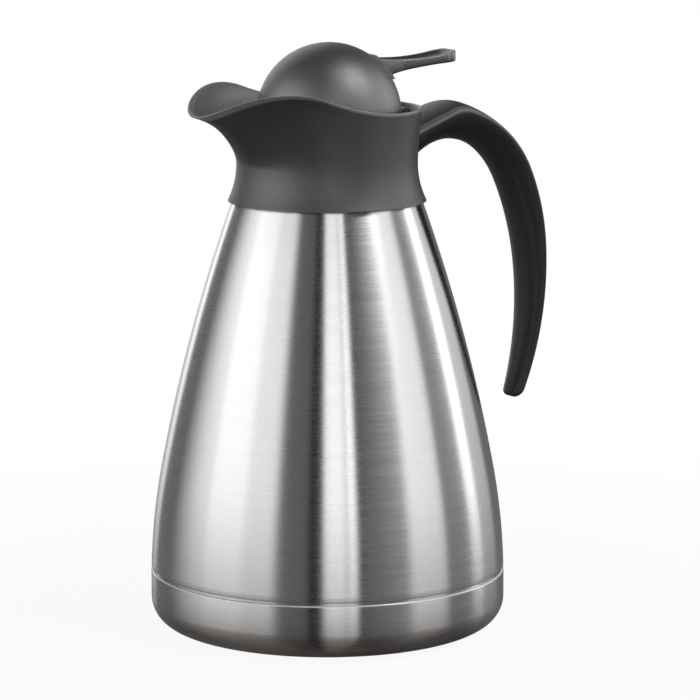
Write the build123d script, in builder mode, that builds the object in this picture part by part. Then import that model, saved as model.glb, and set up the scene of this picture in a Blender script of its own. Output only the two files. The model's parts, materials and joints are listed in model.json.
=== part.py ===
"""Insulated serving carafe with a ball-shaped flip lid, a wide pouring collar and an open handle.

Millimetres. Z is the axis of the flask and the table is z = 0. The handle points along +X and the
spout along -X. Every height and radius follows from the driving dimensions below.
"""

from build123d import *
from math import acos, asin, cos, degrees, radians, sin, sqrt
import os

os.makedirs("parts", exist_ok=True)

# ---------------------------------------------------------------- steel body
BODY_R = 66.3  # widest radius of the steel body
WIDEST_Z = 16.0  # height where the body is widest
BELLY_ARC_R = 240.0  # side arc from the widest point up to the flank
BELLY_TURN = 10.5  # turn of that arc, degrees
FLANK_ARC_R = 660.0  # long, nearly straight arc from the belly up to the collar
SHELL_T = 0.8  # steel sheet of the outer shell and base cup
LINER_T = 0.6  # steel sheet of the inner flask
VACUUM_GAP = 5.0  # evacuated space between shell and inner flask
CORNER_R = 4.0  # rolled corner between the shoulder and its flat seat
NECK_ROOT_R = 2.0  # fillet between the flat seat and the neck
MOUTH_R = 23.5  # clear radius of the flask's mouth
NECK_SPACE = 3.5  # both walls of the neck and the vacuum between them
SHOULDER_W = 8.2  # how far the shoulder's upper end stands outside the neck
NECK_LENGTH = 13.1  # straight neck above the fillet
LINER_CORNER_R = 8.0  # bottom corner of the inner flask
LINER_TURN = 30.0  # extra lean of the inner flask's shoulder, degrees

# ---------------------------------------------------------------- base
FOOT_T = 0.8  # foot pad, which lifts the cup off the table
FOOT_INSET = 16.0  # how far the foot pad stands inside the widest radius
BASE_CORNER_R = 10.4  # rounded lower corner of the cup
BASE_TOP = 21.9  # upper edge of the cup's band
GROOVE_W = 1.0  # groove between the cup and the shell
GROOVE_DEPTH = 1.1  # how far the cup's spigot stands back in the groove
SPIGOT_H = 4.0  # spigot of the cup inside the shell
VACUUM_FLOOR_LIFT = 1.0  # gap between the spigot and the vacuum bottom
VACUUM_FIT = 0.2  # how far the vacuum bottom stands back from the spigot's face
VACUUM_RIM_H = 4.0  # rim of the vacuum bottom, welded to the shell
VACUUM_BOTTOM_GAP = 3.7  # evacuated space under the inner flask
SEAL_R = 6.0  # soldered disc that closes the pumping hole
PUMP_HOLE_R = 1.5  # pumping hole
GETTER_R = 6.0  # capsule that keeps the vacuum
GETTER_H = 2.2
GETTER_SHARE = 0.45  # how far out the getter sits, as a share of the body's radius

# ---------------------------------------------------------------- collar
COLLAR_OVERHANG = 1.7  # how far the collar's lower edge stands outside the shoulder
COLLAR_DROP = 0.3  # how far the lower edge hangs below the end of the flank
WAIST_WALL = 3.2  # wall of the collar at its waist, outside its bore
WAIST_RISE = 14.0  # height of the waist above the lower edge
RIM_FLARE = 1.6  # how far the sides and the back of the rim stand outside the waist
RIM_RISE = 34.5  # height of the rear rim above the lower edge
SPOUT_LENGTH = 18.6  # how far the spout's tip reaches beyond the rim's radius
RIM_CURVE = 1.7  # how late the sides and the back widen above the waist
SPOUT_CURVE = 3.0  # how late the spout sweeps out above the waist
SPOUT_STATIONS = 6  # sections of the loft from the waist to the tip
RIM_STATIONS = 4  # sections of the loft above the tip
SPOUT_SPREAD = 0.3  # how much the spout still widens above its tip, mm per mm
SPOUT_DROP = 1.3  # how far the tip lies below the rear rim
CREST_INSET = 4.7  # how far inside the rim's radius the rim is highest
CREST_RISE = 8.2  # height of the crest above the rear rim
CREST_ARC_R = 35.0  # arc over the crest
RIM_SLOPE = 20.3  # steepest slope of the rim, degrees
COLLAR_WALL = 2.2  # wall of the collar
SPOUT_WALL_RISE = 1.4  # the inner face stands this much higher, which keeps the leaning wall thick
CREST_TAIL = 60.0  # how far the arc over the crest runs on past its level point, degrees
LIP_R = 0.85  # rounding of the rim
SHELL_CLEARANCE = 0.35  # gap between the collar and the steel
GASKET_T = 1.6  # rubber ring under the collar
GASKET_W = 1.8  # width of that ring
FLANGE_T = 2.5  # inner flange of the collar
NUT_T = 6.0  # threaded ring that holds the collar
NUT_WALL = 3.2
NUT_THREAD_GAP = 0.1  # between the nut and the neck
NUT_NOTCHES = 6  # spanner notches of the nut
NUT_NOTCH_W = 4.0
NUT_CLEARANCE = 0.2  # between the nut and the collar's bore
TRAY_LEDGE = 0.6  # how far the tray's recess stands outside the bore
MOUTH_SEAL_T = 0.8  # seal between the mouth and the tray
TRAY_T = 2.0
TRAY_GAP = 0.1  # between the tray and the collar
PAD_INSET = 0.4  # how far the flat for the handle's screws stands inside the bore
PAD_H = 7.0  # height of that flat above the tray
PAD_HALF_W = 13.0

# ---------------------------------------------------------------- handle
HANDLE_INSET = 5.3  # how far inside the rim's radius the handle's outer line begins
HANDLE_RISE = 26.9  # height of that start above the collar's lower edge
HANDLE_SLOPE = 21.7  # slope of its first stretch, degrees
HANDLE_LEAD = 18.8  # length of that stretch
HANDLE_ARCS = ((11.5, 39.8), (44.5, 47.6), (93.3, 19.2), (143.8, 24.3))  # outer line: radius, turn
UNDER_INSET = 1.3  # how far inside the waist the handle's inner line begins
UNDER_RISE = 12.4  # height of that start above the collar's lower edge
UNDER_SLOPE = 46.5
UNDER_LEAD = 1.0
UNDER_ARCS = ((23.2, 85.8), (34.8, 26.8), (111.2, 44.0))  # inner line: radius, turn
HANDLE_HALF_W = 13.5  # half the width at the collar
HANDLE_TIP_HALF_W = 6.0  # half the width at the tip
HANDLE_TAPER = 2.5  # how late the width draws in
HANDLE_CROWN = 2.3  # bulge of the outer face at the collar
HANDLE_STATIONS = 13  # sections of the loft
HANDLE_EDGE_R = 0.7  # rounding of the handle's long edges
HANDLE_TIP_R = 2.4
JOINT_GAP = 0.1  # between the handle's root and the collar
SCREW_R = 1.7  # shank of the handle's screws
SCREW_HEAD_R = 3.3
SCREW_LENGTH = 14.0
SCREW_SPREAD = 8.0  # distance of each screw from the middle plane
SCREW_FIT = 0.05  # gap around a fixed screw
SCREW_RISE = 3.6  # height of the screws above the tray

# ---------------------------------------------------------------- stopper
STOPPER_R_GAP = 0.5  # between the stopper and the mouth
STOPPER_DEPTH = 18.0  # how far the stopper reaches into the neck
STOPPER_FLANGE_W = 4.3  # how far its flange stands outside the mouth
STOPPER_FLANGE_T = 2.6
PORT_WALL = 10.0  # wall between the pouring hole and the mouth's edge
PORT_FLARE = 3.5  # how far its conical mouth opens
PORT_CONE_H = 6.0
NECK_SEAL_H = 3.0
NECK_SEAL_DEPTH = 1.8
NECK_SEAL_RISE = 7.0  # height of the seal above the stopper's lower end
SEAL_FIT = 0.1  # between the neck seal and the flask
EAR_INSET = 1.4  # how far the inner face of the hinge ears stands inside the lid's axis
EAR_T = 2.0
EAR_Y = 6.0  # inner side of each ear
EAR_W = 2.6
HINGE_OUT = 0.9  # how far the lid's axis lies outside the ball
HINGE_RISE = 10.1  # height of that axis above the tray
KNUCKLE_R = 2.2
PIN_R = 1.2
PIN_FIT = 0.05  # running gap of the lid on its pin
PIN_PRESS = 0.02  # the pin's gap in the ears
KNUCKLE_GAP = 0.5  # side play between lid and ears

# ---------------------------------------------------------------- lid
DOME_X = 0.8  # centre of the ball
DOME_MARGIN = 3.5  # how far the ball stands inside the collar's bore
DOME_RISE = 10.1  # height of the ball's centre above the tray
DOME_T = 1.8
LID_GAP = 1.0  # the flat seal's height between stopper and lid plate
PLATE_T = 2.4
PLATE_INSET = 0.4  # how far the lid plate stands inside the ball's radius
PLUG_GAP = 0.6  # between the plug's cone and the port
PLUG_DEPTH = 4.6  # how far the plug reaches below the lid plate
PLUG_SEAL_SPACE = 1.0  # how far the flat seal stands outside the port's mouth
PLUG_SEAL_W = 3.0
PLUG_SEAL_BED = 0.6  # depth of its groove in the lid plate
ARM_T = 2.2
POST_R = 3.5  # post inside the ball for the lid's screw
LID_SCREW_R = 1.5
LID_SCREW_HEAD_R = 2.8
LID_SCREW_LENGTH = 16.0
SCREW_HEAD_T = 1.6
FOAM_INSET = 5.4  # how far the foam disc stands inside the ball's radius
FOAM_H = 9.0
FOAM_GAP = 0.4

# ---------------------------------------------------------------- thumb lever
LEVER_DROP = 6.3  # how far the lever's top lies under the top of the ball, at the ball
LEVER_REACH = 24.8  # how far the lever reaches beyond the ball's radius
LEVER_TIP_RISE = 1.9  # how much higher the tip is
LEVER_SAG = 0.6  # how far the top dips in between
LEVER_ROOT_T = 6.6
LEVER_TIP_T = 4.3
LEVER_ROOT_W = 12.0
LEVER_TIP_W = 15.5
LEVER_TIP_R = 5.5  # rounding of the tip, seen from above
LEVER_LEAVE = (2, 1)  # direction in which the lever's underside leaves the ball
LEVER_PULL = 0.5  # how long it keeps that direction
THUMB_R = 16.0  # hollow for the thumb
THUMB_DEPTH = 0.8
LEVER_STEP = 1.2  # raised step of the ball round the lever
TONGUE_INSET = 21.2  # how far inside the ball's radius the lever's tongue ends
TONGUE_T = 3.0
SLOT_GAP = 0.15  # around the lever in the ball
BOSS_INSET = 16.7  # how far inside the ball's radius the boss for its screw stands
BOSS_R = 3.0
LEVER_SCREW_R = 1.2
LEVER_SCREW_HEAD_R = 2.3
LEVER_SCREW_LENGTH = 7.0

# ---------------------------------------------------------------- places that follow
NECK_R = MOUTH_R + NECK_SPACE
SHOULDER_R = NECK_R + SHOULDER_W
BELLY_DRAW = BELLY_ARC_R * (1 - cos(radians(BELLY_TURN)))
FLANK_DRAW = BODY_R - BELLY_DRAW - SHOULDER_R
LEAN = degrees(acos(cos(radians(BELLY_TURN)) - FLANK_DRAW / FLANK_ARC_R))
FOOT_R = BODY_R - FOOT_INSET
GETTER_X = BODY_R * GETTER_SHARE
BORE_R = NECK_R + NUT_WALL + NUT_CLEARANCE
TRAY_R = BORE_R + TRAY_LEDGE
COLLAR_FOOT_R = SHOULDER_R + COLLAR_OVERHANG
WAIST_R = BORE_R + WAIST_WALL
RIM_R = WAIST_R + RIM_FLARE
SPOUT_REACH = RIM_R + SPOUT_LENGTH
CREST_X = CREST_INSET - RIM_R
STOPPER_FLANGE_R = MOUTH_R + STOPPER_FLANGE_W
PORT_R = MOUTH_R - PORT_WALL
PORT_MOUTH_R = PORT_R + PORT_FLARE
PLUG_SEAL_R = PORT_MOUTH_R + PLUG_SEAL_SPACE
DOME_R = BORE_R - DOME_MARGIN
PLATE_R = DOME_R - PLATE_INSET
FOAM_R = DOME_R - FOAM_INSET
LEVER_RISE = DOME_R - LEVER_DROP
LEVER_TIP_X = DOME_X + DOME_R + LEVER_REACH
TONGUE_X = DOME_X + DOME_R - TONGUE_INSET
BOSS_X = DOME_X + DOME_R - BOSS_INSET
BELLY_TOP = WIDEST_Z + BELLY_ARC_R * sin(radians(BELLY_TURN))
SHOULDER_TOP = BELLY_TOP + FLANK_ARC_R * (sin(radians(LEAN)) - sin(radians(BELLY_TURN)))
SEAT_Z = SHOULDER_TOP + CORNER_R * (1 - sin(radians(LEAN)))
NECK_TOP = SEAT_Z + NECK_ROOT_R + NECK_LENGTH
MOUTH_TOP = NECK_TOP + LINER_T
TRAY_Z = MOUTH_TOP + MOUTH_SEAL_T
TRAY_TOP = TRAY_Z + TRAY_T
NUT_Z = SEAT_Z + GASKET_T + FLANGE_T
SHELL_FOOT = BASE_TOP + GROOVE_W
VACUUM_Z = BASE_TOP + SPIGOT_H + VACUUM_FLOOR_LIFT
LINER_Z = VACUUM_Z + SHELL_T + VACUUM_BOTTOM_GAP
COLLAR_Z = SHOULDER_TOP - COLLAR_DROP
WAIST_Z = COLLAR_Z + WAIST_RISE
RIM_Z = COLLAR_Z + RIM_RISE
TIP_Z = RIM_Z - SPOUT_DROP
CREST_Z = RIM_Z + CREST_RISE
STOPPER_TOP = TRAY_TOP + STOPPER_FLANGE_T
STOPPER_R = MOUTH_R - STOPPER_R_GAP
PLATE_Z = STOPPER_TOP + LID_GAP
PLATE_TOP = PLATE_Z + PLATE_T
HINGE_Z = TRAY_TOP + HINGE_RISE
DOME_Z = TRAY_TOP + DOME_RISE
LEVER_Z = DOME_Z + LEVER_RISE
HINGE_X = DOME_X + DOME_R + HINGE_OUT
EAR_X = HINGE_X - EAR_INSET
PAD_X = BORE_R - PAD_INSET
HANDLE_X = RIM_R - HANDLE_INSET
UNDER_X = WAIST_R - UNDER_INSET
SCREW_Z = TRAY_TOP + SCREW_RISE


def finish(part, name):
    """Label a finished piece and write it as parts/NAME.step."""
    part.part.label = name
    export_step(part.part, f"parts/{name}.step")


def side_line(depth, low_turn=0.0):
    """Belly arc and flank, this far under the outer face.

    The belly arc begins low_turn degrees above the widest point. Returns both arcs.
    """
    radius = BELLY_ARC_R - depth
    centre = Vector(BODY_R - BELLY_ARC_R, WIDEST_Z)
    outward = Vector(1, 0).rotate(Axis.Z, low_turn)
    upward = Vector(0, 1).rotate(Axis.Z, low_turn)
    belly = JernArc(centre + outward * radius, upward, radius, BELLY_TURN - low_turn)
    flank = JernArc(belly @ 1, belly % 1, FLANK_ARC_R - depth, LEAN - BELLY_TURN)
    return belly, flank


SHELL_TURN = degrees(asin((SHELL_FOOT - WIDEST_Z) / BELLY_ARC_R))


def shell_line(depth):
    """Side of the outer shell from its lower edge to the top of its neck, at this depth.

    Returns its lowest and highest point.
    """
    belly, flank = side_line(depth, SHELL_TURN)
    corner = JernArc(flank @ 1, flank % 1, CORNER_R - depth, 90 - LEAN)
    seat = Line(corner @ 1, (NECK_R + NECK_ROOT_R, SEAT_Z - depth))
    root = JernArc(seat @ 1, (-1, 0), NECK_ROOT_R + depth, -90)
    neck = Line(root @ 1, (NECK_R - depth, NECK_TOP))
    return belly @ 0, neck @ 1


# ---------------------------------------------------------------- outer shell
with BuildPart() as outer_shell:
    with BuildSketch(Plane.XZ):
        with BuildLine():
            outer_foot, outer_top = shell_line(0)
            inner_foot, inner_top = shell_line(SHELL_T)
            Line(outer_foot, inner_foot)
            Line(outer_top, inner_top)
        make_face()
    revolve(axis=Axis.Z)
finish(outer_shell, "outer_shell")

# ---------------------------------------------------------------- inner flask
LINER_DEPTH = SHELL_T + VACUUM_GAP
HEEL_LIFT = LINER_Z + LINER_CORNER_R - WIDEST_Z
HEEL_TURN = degrees(asin(HEEL_LIFT / (BELLY_ARC_R - LINER_DEPTH - LINER_CORNER_R)))


def liner_line(depth):
    """Wall of the inner flask from its bottom centre to its neck, this far inside its outer face."""
    belly, flank = side_line(LINER_DEPTH + depth, HEEL_TURN)
    heel = JernArc(belly @ 0, belly % 0 * -1, LINER_CORNER_R - depth, -90 - HEEL_TURN)
    Line(heel @ 1, (0, LINER_Z + depth))
    turn_in = JernArc(flank @ 1, flank % 1, CORNER_R + LINER_T - depth, LINER_TURN)
    lean = LEAN + LINER_TURN
    bend = NECK_ROOT_R + SHELL_T + depth
    end_r = MOUTH_R + LINER_T - depth + bend * (1 - cos(radians(lean)))
    slope = PolarLine(turn_in @ 1, ((turn_in @ 1).X - end_r) / sin(radians(lean)), direction=turn_in % 1)
    root = JernArc(slope @ 1, slope % 1, bend, -lean)
    Line(root @ 1, (MOUTH_R + LINER_T - depth, NECK_TOP))


with BuildPart() as inner_flask:
    with BuildSketch(Plane.XZ):
        with BuildLine():
            liner_line(0)
            liner_line(LINER_T)
            Line((0, LINER_Z), (0, LINER_Z + LINER_T))
            Line((MOUTH_R + LINER_T, NECK_TOP), (NECK_R, NECK_TOP))
            Line((NECK_R, NECK_TOP), (NECK_R, MOUTH_TOP))
            Line((NECK_R, MOUTH_TOP), (MOUTH_R, MOUTH_TOP))
            Line((MOUTH_R, MOUTH_TOP), (MOUTH_R, NECK_TOP))
        make_face()
    revolve(axis=Axis.Z)
finish(inner_flask, "inner_flask")

# ---------------------------------------------------------------- base cup
SPIGOT_R = BODY_R - GROOVE_DEPTH


def cup_line(depth):
    """Base cup from the middle of its bottom to the top of its spigot, this far inside its outer face."""
    floor = Line((0, FOOT_T + depth), (BODY_R - BASE_CORNER_R, FOOT_T + depth))
    corner = JernArc(floor @ 1, (1, 0), BASE_CORNER_R - depth, 90)
    band = Line(corner @ 1, (BODY_R - depth, BASE_TOP - depth))
    step = Line(band @ 1, (SPIGOT_R - depth, BASE_TOP - depth))
    Line(step @ 1, (SPIGOT_R - depth, BASE_TOP + SPIGOT_H))


with BuildPart() as base_cup:
    with BuildSketch(Plane.XZ):
        with BuildLine():
            cup_line(0)
            cup_line(SHELL_T)
            Line((0, FOOT_T), (0, FOOT_T + SHELL_T))
            Line((SPIGOT_R, BASE_TOP + SPIGOT_H), (SPIGOT_R - SHELL_T, BASE_TOP + SPIGOT_H))
        make_face()
    revolve(axis=Axis.Z)
finish(base_cup, "base_cup")

with BuildPart() as foot_pad:
    with BuildSketch():
        Circle(FOOT_R)
    extrude(amount=FOOT_T)
finish(foot_pad, "foot_pad")

# ---------------------------------------------------------------- vacuum bottom, pumping seal, getter
VACUUM_R = SPIGOT_R - VACUUM_FIT

with BuildPart() as vacuum_bottom:
    with BuildSketch(Plane.XY.offset(VACUUM_Z)):
        Circle(VACUUM_R)
    extrude(amount=VACUUM_RIM_H)
    with BuildSketch(Plane.XY.offset(VACUUM_Z + SHELL_T)):
        Circle(VACUUM_R - SHELL_T)
    extrude(amount=VACUUM_RIM_H, mode=Mode.SUBTRACT)
    with Locations((0, 0, VACUUM_Z)):
        Hole(PUMP_HOLE_R)
finish(vacuum_bottom, "vacuum_bottom")

with BuildPart() as evacuation_seal:
    with BuildSketch(Plane.XY.offset(VACUUM_Z - SHELL_T)):
        Circle(SEAL_R)
    extrude(amount=SHELL_T)
finish(evacuation_seal, "evacuation_seal")

with BuildPart() as getter:
    with BuildSketch(Plane.XY.offset(VACUUM_Z + SHELL_T)):
        with Locations((GETTER_X, 0)):
            Circle(GETTER_R)
    extrude(amount=GETTER_H)
finish(getter, "getter")


# ---------------------------------------------------------------- collar
def flare(height, top, curve):
    """How far a height has come from the waist to a top, as a share that starts out upright."""
    return (max(0.0, height - WAIST_Z) / (top - WAIST_Z)) ** curve


def side_radius(height):
    """Radius of the collar's sides and back above the waist."""
    return WAIST_R + (RIM_R - WAIST_R) * flare(height, RIM_Z, RIM_CURVE)


def spout_reach(height):
    """How far the collar reaches towards the spout: a flare up to the tip, then nearly upright."""
    above = max(0.0, height - TIP_Z)
    swept = flare(height - above, TIP_Z, SPOUT_CURVE)
    return WAIST_R + (SPOUT_REACH - WAIST_R) * swept + SPOUT_SPREAD * above


def collar_section(height, inset, rise=0.0):
    """Half circle behind, half ellipse towards the spout, this far inside the collar's outer face."""
    side = side_radius(height) - inset
    reach = spout_reach(height) - inset
    with BuildSketch(Plane.XY.offset(height + rise)) as section:
        with BuildLine():
            EllipticalCenterArc((0, 0), side, side, start_angle=-90, arc_size=180)
            EllipticalCenterArc((0, 0), reach, side, start_angle=90, arc_size=180)
        make_face()
    return section.sketch


def heights(low, high, count):
    """Evenly spaced heights from low to high."""
    return [low + (high - low) * step / (count - 1) for step in range(count)]


COLLAR_TOP = CREST_Z + CREST_RISE
BLANK_HEIGHTS = heights(WAIST_Z, TIP_Z, SPOUT_STATIONS) + heights(TIP_Z, COLLAR_TOP, RIM_STATIONS)[1:]


def collar_blank(gap=0.0):
    """The collar's outer shape as a solid, before the rim is cut, grown by a gap."""
    with BuildPart() as blank:
        with BuildSketch(Plane.XZ):
            with BuildLine():
                top = (WAIST_R + gap, WAIST_Z)
                cove = TangentArc(top, (COLLAR_FOOT_R + gap, COLLAR_Z), tangent=(0, -1))
                Polyline(cove @ 1, (0, COLLAR_Z), (0, WAIST_Z), cove @ 0)
            make_face()
        revolve(axis=Axis.Z)
        loft([collar_section(height, -gap) for height in BLANK_HEIGHTS])
    return blank.part


def spout_hollow():
    """The hollow above the pouring tray, open at the top."""
    levels = [TRAY_TOP - SPOUT_WALL_RISE] + [h for h in BLANK_HEIGHTS if h > TRAY_TOP]
    with BuildPart() as hollow:
        loft([collar_section(height, COLLAR_WALL, SPOUT_WALL_RISE) for height in levels])
    return hollow.part


def rim_cutter():
    """Everything above the rim: level at the back, one wave over the crest, falling to the spout."""
    rise = 1 - cos(radians(RIM_SLOPE))
    valley_r = CREST_RISE / rise - CREST_ARC_R
    valley_x = CREST_X + (valley_r + CREST_ARC_R) * sin(radians(RIM_SLOPE))
    reach = 2 * SPOUT_REACH
    with BuildPart() as cutter:
        with BuildSketch(Plane.XZ):
            with BuildLine():
                level = Line((reach, RIM_Z), (valley_x, RIM_Z))
                valley = JernArc(level @ 1, (-1, 0), valley_r, -RIM_SLOPE)
                crest = JernArc(valley @ 1, valley % 1, CREST_ARC_R, RIM_SLOPE + CREST_TAIL)
                Polyline(crest @ 1, (-reach, (crest @ 1).Y), (-reach, COLLAR_TOP + reach))
                Polyline((-reach, COLLAR_TOP + reach), (reach, COLLAR_TOP + reach), (reach, RIM_Z))
            make_face()
        extrude(amount=reach, both=True)
    return cutter.part


def steel_envelope(gap):
    """The shell's outside, closed to the axis and grown by a gap."""
    with BuildPart() as envelope:
        with BuildSketch(Plane.XZ):
            with BuildLine():
                foot, top = shell_line(-gap)
                Polyline(foot, (0, foot.Y), (0, top.Y), top)
            make_face()
        revolve(axis=Axis.Z)
    return envelope.part


GASKET_R = NECK_R + NECK_ROOT_R + GASKET_W
PAD_TOP = TRAY_TOP + PAD_H


def screw_pad():
    """Thickened wall behind the lid, with a flat inner face for the handle's screws."""
    with BuildPart() as pad:
        with BuildSketch(Plane.YZ.offset(PAD_X)):
            with Locations((0, TRAY_TOP + PAD_H / 2)):
                Rectangle(2 * PAD_HALF_W, PAD_H)
        extrude(amount=COLLAR_FOOT_R)
        add(collar_blank(), mode=Mode.INTERSECT)
    return pad.part


def screw_places():
    """Where the handle's screws enter the pad, pointing out of it."""
    return [Plane((PAD_X, side * SCREW_SPREAD, SCREW_Z), z_dir=(-1, 0, 0)) for side in (-1, 1)]


with BuildPart() as collar:
    add(collar_blank())
    add(spout_hollow(), mode=Mode.SUBTRACT)
    add(screw_pad())
    add(rim_cutter(), mode=Mode.SUBTRACT)
    fillet(collar.edges().filter_by(lambda edge: edge.center().Z > TIP_Z - LIP_R), LIP_R)
    with BuildSketch(Plane.XY.offset(NUT_Z)):
        Circle(BORE_R)
    extrude(amount=TRAY_TOP - NUT_Z, mode=Mode.SUBTRACT)
    with BuildSketch(Plane.XY.offset(TRAY_Z)):
        Circle(TRAY_R)
    extrude(amount=TRAY_T, mode=Mode.SUBTRACT)
    add(steel_envelope(SHELL_CLEARANCE), mode=Mode.SUBTRACT)
    with BuildSketch(Plane.XY.offset(SEAT_Z)):
        Circle(GASKET_R + SHELL_CLEARANCE)
    extrude(amount=GASKET_T, mode=Mode.SUBTRACT)
    with Locations(*screw_places()):
        CounterSinkHole(SCREW_R + SCREW_FIT, SCREW_HEAD_R + SCREW_FIT, depth=SCREW_LENGTH)
finish(collar, "collar")

# ---------------------------------------------------------------- gasket, nut, mouth seal, tray
with BuildPart() as collar_gasket:
    with BuildSketch(Plane.XY.offset(SEAT_Z)):
        Circle(GASKET_R)
        Circle(GASKET_R - GASKET_W, mode=Mode.SUBTRACT)
    extrude(amount=GASKET_T)
finish(collar_gasket, "collar_gasket")

NUT_R = NECK_R + NUT_WALL

with BuildPart() as neck_nut:
    with BuildSketch(Plane.XY.offset(NUT_Z)):
        Circle(NUT_R)
        Circle(NECK_R + NUT_THREAD_GAP, mode=Mode.SUBTRACT)
    extrude(amount=NUT_T)
    with BuildSketch(Plane.XY.offset(NUT_Z + NUT_T / 2)):
        with PolarLocations(NUT_R, NUT_NOTCHES):
            Rectangle(NUT_WALL, NUT_NOTCH_W)
    extrude(amount=NUT_T / 2, mode=Mode.SUBTRACT)
finish(neck_nut, "neck_nut")

with BuildPart() as mouth_seal:
    with BuildSketch(Plane.XY.offset(MOUTH_TOP)):
        Circle(NECK_R)
        Circle(MOUTH_R, mode=Mode.SUBTRACT)
    extrude(amount=MOUTH_SEAL_T)
finish(mouth_seal, "mouth_seal")

with BuildPart() as pouring_tray:
    with BuildSketch(Plane.XY.offset(TRAY_Z)):
        Circle(TRAY_R - TRAY_GAP)
        Circle(MOUTH_R, mode=Mode.SUBTRACT)
    extrude(amount=TRAY_T)
finish(pouring_tray, "pouring_tray")


# ---------------------------------------------------------------- handle
def tangent_run(start, slope, lead, arcs):
    """A straight lead at the given slope, then arcs of (radius, turn) that bend to the right."""
    run = PolarLine(start, lead, slope)
    for radius, turn in arcs:
        run = JernArc(run @ 1, run % 1, radius, -turn)


with BuildLine(Plane.XZ) as outer_line:
    tangent_run((HANDLE_X, COLLAR_Z + HANDLE_RISE), HANDLE_SLOPE, HANDLE_LEAD, HANDLE_ARCS)

with BuildLine(Plane.XZ) as under_line:
    tangent_run((UNDER_X, COLLAR_Z + UNDER_RISE), UNDER_SLOPE, UNDER_LEAD, UNDER_ARCS)


def handle_section(share):
    """D-shaped section at this share of the handle's length: a crowned face and a rounded palm side."""
    crown = outer_line.wire() @ share
    palm = under_line.wire() @ share
    out = (crown - palm).normalized()
    thick = (crown - palm).length
    half = HANDLE_HALF_W - (HANDLE_HALF_W - HANDLE_TIP_HALF_W) * share**HANDLE_TAPER
    bulge = HANDLE_CROWN * half / HANDLE_HALF_W
    with BuildSketch(Plane(origin=crown, x_dir=out, z_dir=out.cross(Vector(0, 1, 0)))) as section:
        with BuildLine():
            ThreePointArc((-bulge, -half), (0, 0), (-bulge, half))
            EllipticalCenterArc((-bulge, 0), thick - bulge, half, start_angle=90, arc_size=180)
        make_face()
    return section.sketch


with BuildPart() as handle:
    loft([handle_section(station / (HANDLE_STATIONS - 1)) for station in range(HANDLE_STATIONS)])
    fillet(handle.edges().group_by(Axis.Z)[0], HANDLE_TIP_R)
    fillet(handle.edges().sort_by(SortBy.LENGTH)[-2:], HANDLE_EDGE_R)
    add(collar_blank(JOINT_GAP), mode=Mode.SUBTRACT)
    with Locations(*screw_places()):
        Hole(SCREW_R + SCREW_FIT, depth=SCREW_LENGTH + SCREW_FIT)
finish(handle, "handle")

with BuildPart() as handle_screws:
    with Locations(*screw_places()):
        Cylinder(SCREW_R, SCREW_LENGTH, align=(Align.CENTER, Align.CENTER, Align.MAX))
        Cone(SCREW_R, SCREW_HEAD_R, SCREW_HEAD_R - SCREW_R, align=(Align.CENTER, Align.CENTER, Align.MAX))
finish(handle_screws, "handle_screws")


# ---------------------------------------------------------------- stopper
def ring(radius, low, high, hole=0.0):
    """A flat ring or disc between two heights, round the flask's axis."""
    with BuildPart() as disc:
        with BuildSketch(Plane.XY.offset(low)):
            Circle(radius)
            if hole:
                Circle(hole, mode=Mode.SUBTRACT)
        extrude(amount=high - low)
    return disc.part


def bar(centre, radius, half_length, gap=0.0):
    """A round bar along Y through this point of the middle plane."""
    with BuildPart() as rod:
        with BuildSketch(Plane.XZ):
            with Locations(centre):
                Circle(radius + gap)
        extrude(amount=half_length, both=True)
    return rod.part


SEAL_Z = TRAY_TOP - STOPPER_DEPTH + NECK_SEAL_RISE
SEAL_OUT_R = MOUTH_R - SEAL_FIT
SEAL_IN_R = SEAL_OUT_R - NECK_SEAL_DEPTH
EAR_END_Y = EAR_Y + EAR_W
EAR_FOOT_X = STOPPER_R - EAR_T

with BuildPart() as stopper:
    add(ring(STOPPER_R, TRAY_TOP - STOPPER_DEPTH, TRAY_TOP))
    add(ring(STOPPER_FLANGE_R, TRAY_TOP, STOPPER_TOP))
    for side in (-1, 1):
        with BuildSketch(Plane.XZ.offset(-side * EAR_Y)):
            with BuildLine():
                Polyline(
                    (EAR_FOOT_X, TRAY_TOP),
                    (EAR_X + EAR_T, TRAY_TOP),
                    (EAR_X + EAR_T, HINGE_Z - KNUCKLE_R),
                    (HINGE_X + KNUCKLE_R, HINGE_Z),
                    (HINGE_X - KNUCKLE_R, HINGE_Z),
                    (EAR_X, HINGE_Z - KNUCKLE_R),
                    (EAR_X, STOPPER_TOP),
                    (EAR_FOOT_X, STOPPER_TOP),
                    close=True,
                )
            make_face()
            with Locations((HINGE_X, HINGE_Z)):
                Circle(KNUCKLE_R)
        extrude(amount=-side * EAR_W)
    add(bar((HINGE_X, HINGE_Z), PIN_R, 2 * EAR_END_Y, PIN_PRESS), mode=Mode.SUBTRACT)
    add(ring(PORT_R, TRAY_TOP - STOPPER_DEPTH, STOPPER_TOP), mode=Mode.SUBTRACT)
    with BuildSketch(Plane.XY.offset(STOPPER_TOP - PORT_CONE_H)):
        Circle(PORT_R)
    with BuildSketch(Plane.XY.offset(STOPPER_TOP)):
        Circle(PORT_MOUTH_R)
    loft(mode=Mode.SUBTRACT)
    add(ring(STOPPER_R + SEAL_FIT, SEAL_Z, SEAL_Z + NECK_SEAL_H, SEAL_IN_R), mode=Mode.SUBTRACT)
finish(stopper, "stopper")

with BuildPart() as neck_seal:
    add(ring(SEAL_OUT_R, SEAL_Z, SEAL_Z + NECK_SEAL_H, SEAL_IN_R))
finish(neck_seal, "neck_seal")

with BuildPart() as hinge_pin:
    add(bar((HINGE_X, HINGE_Z), PIN_R, EAR_END_Y))
finish(hinge_pin, "hinge_pin")

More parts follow.
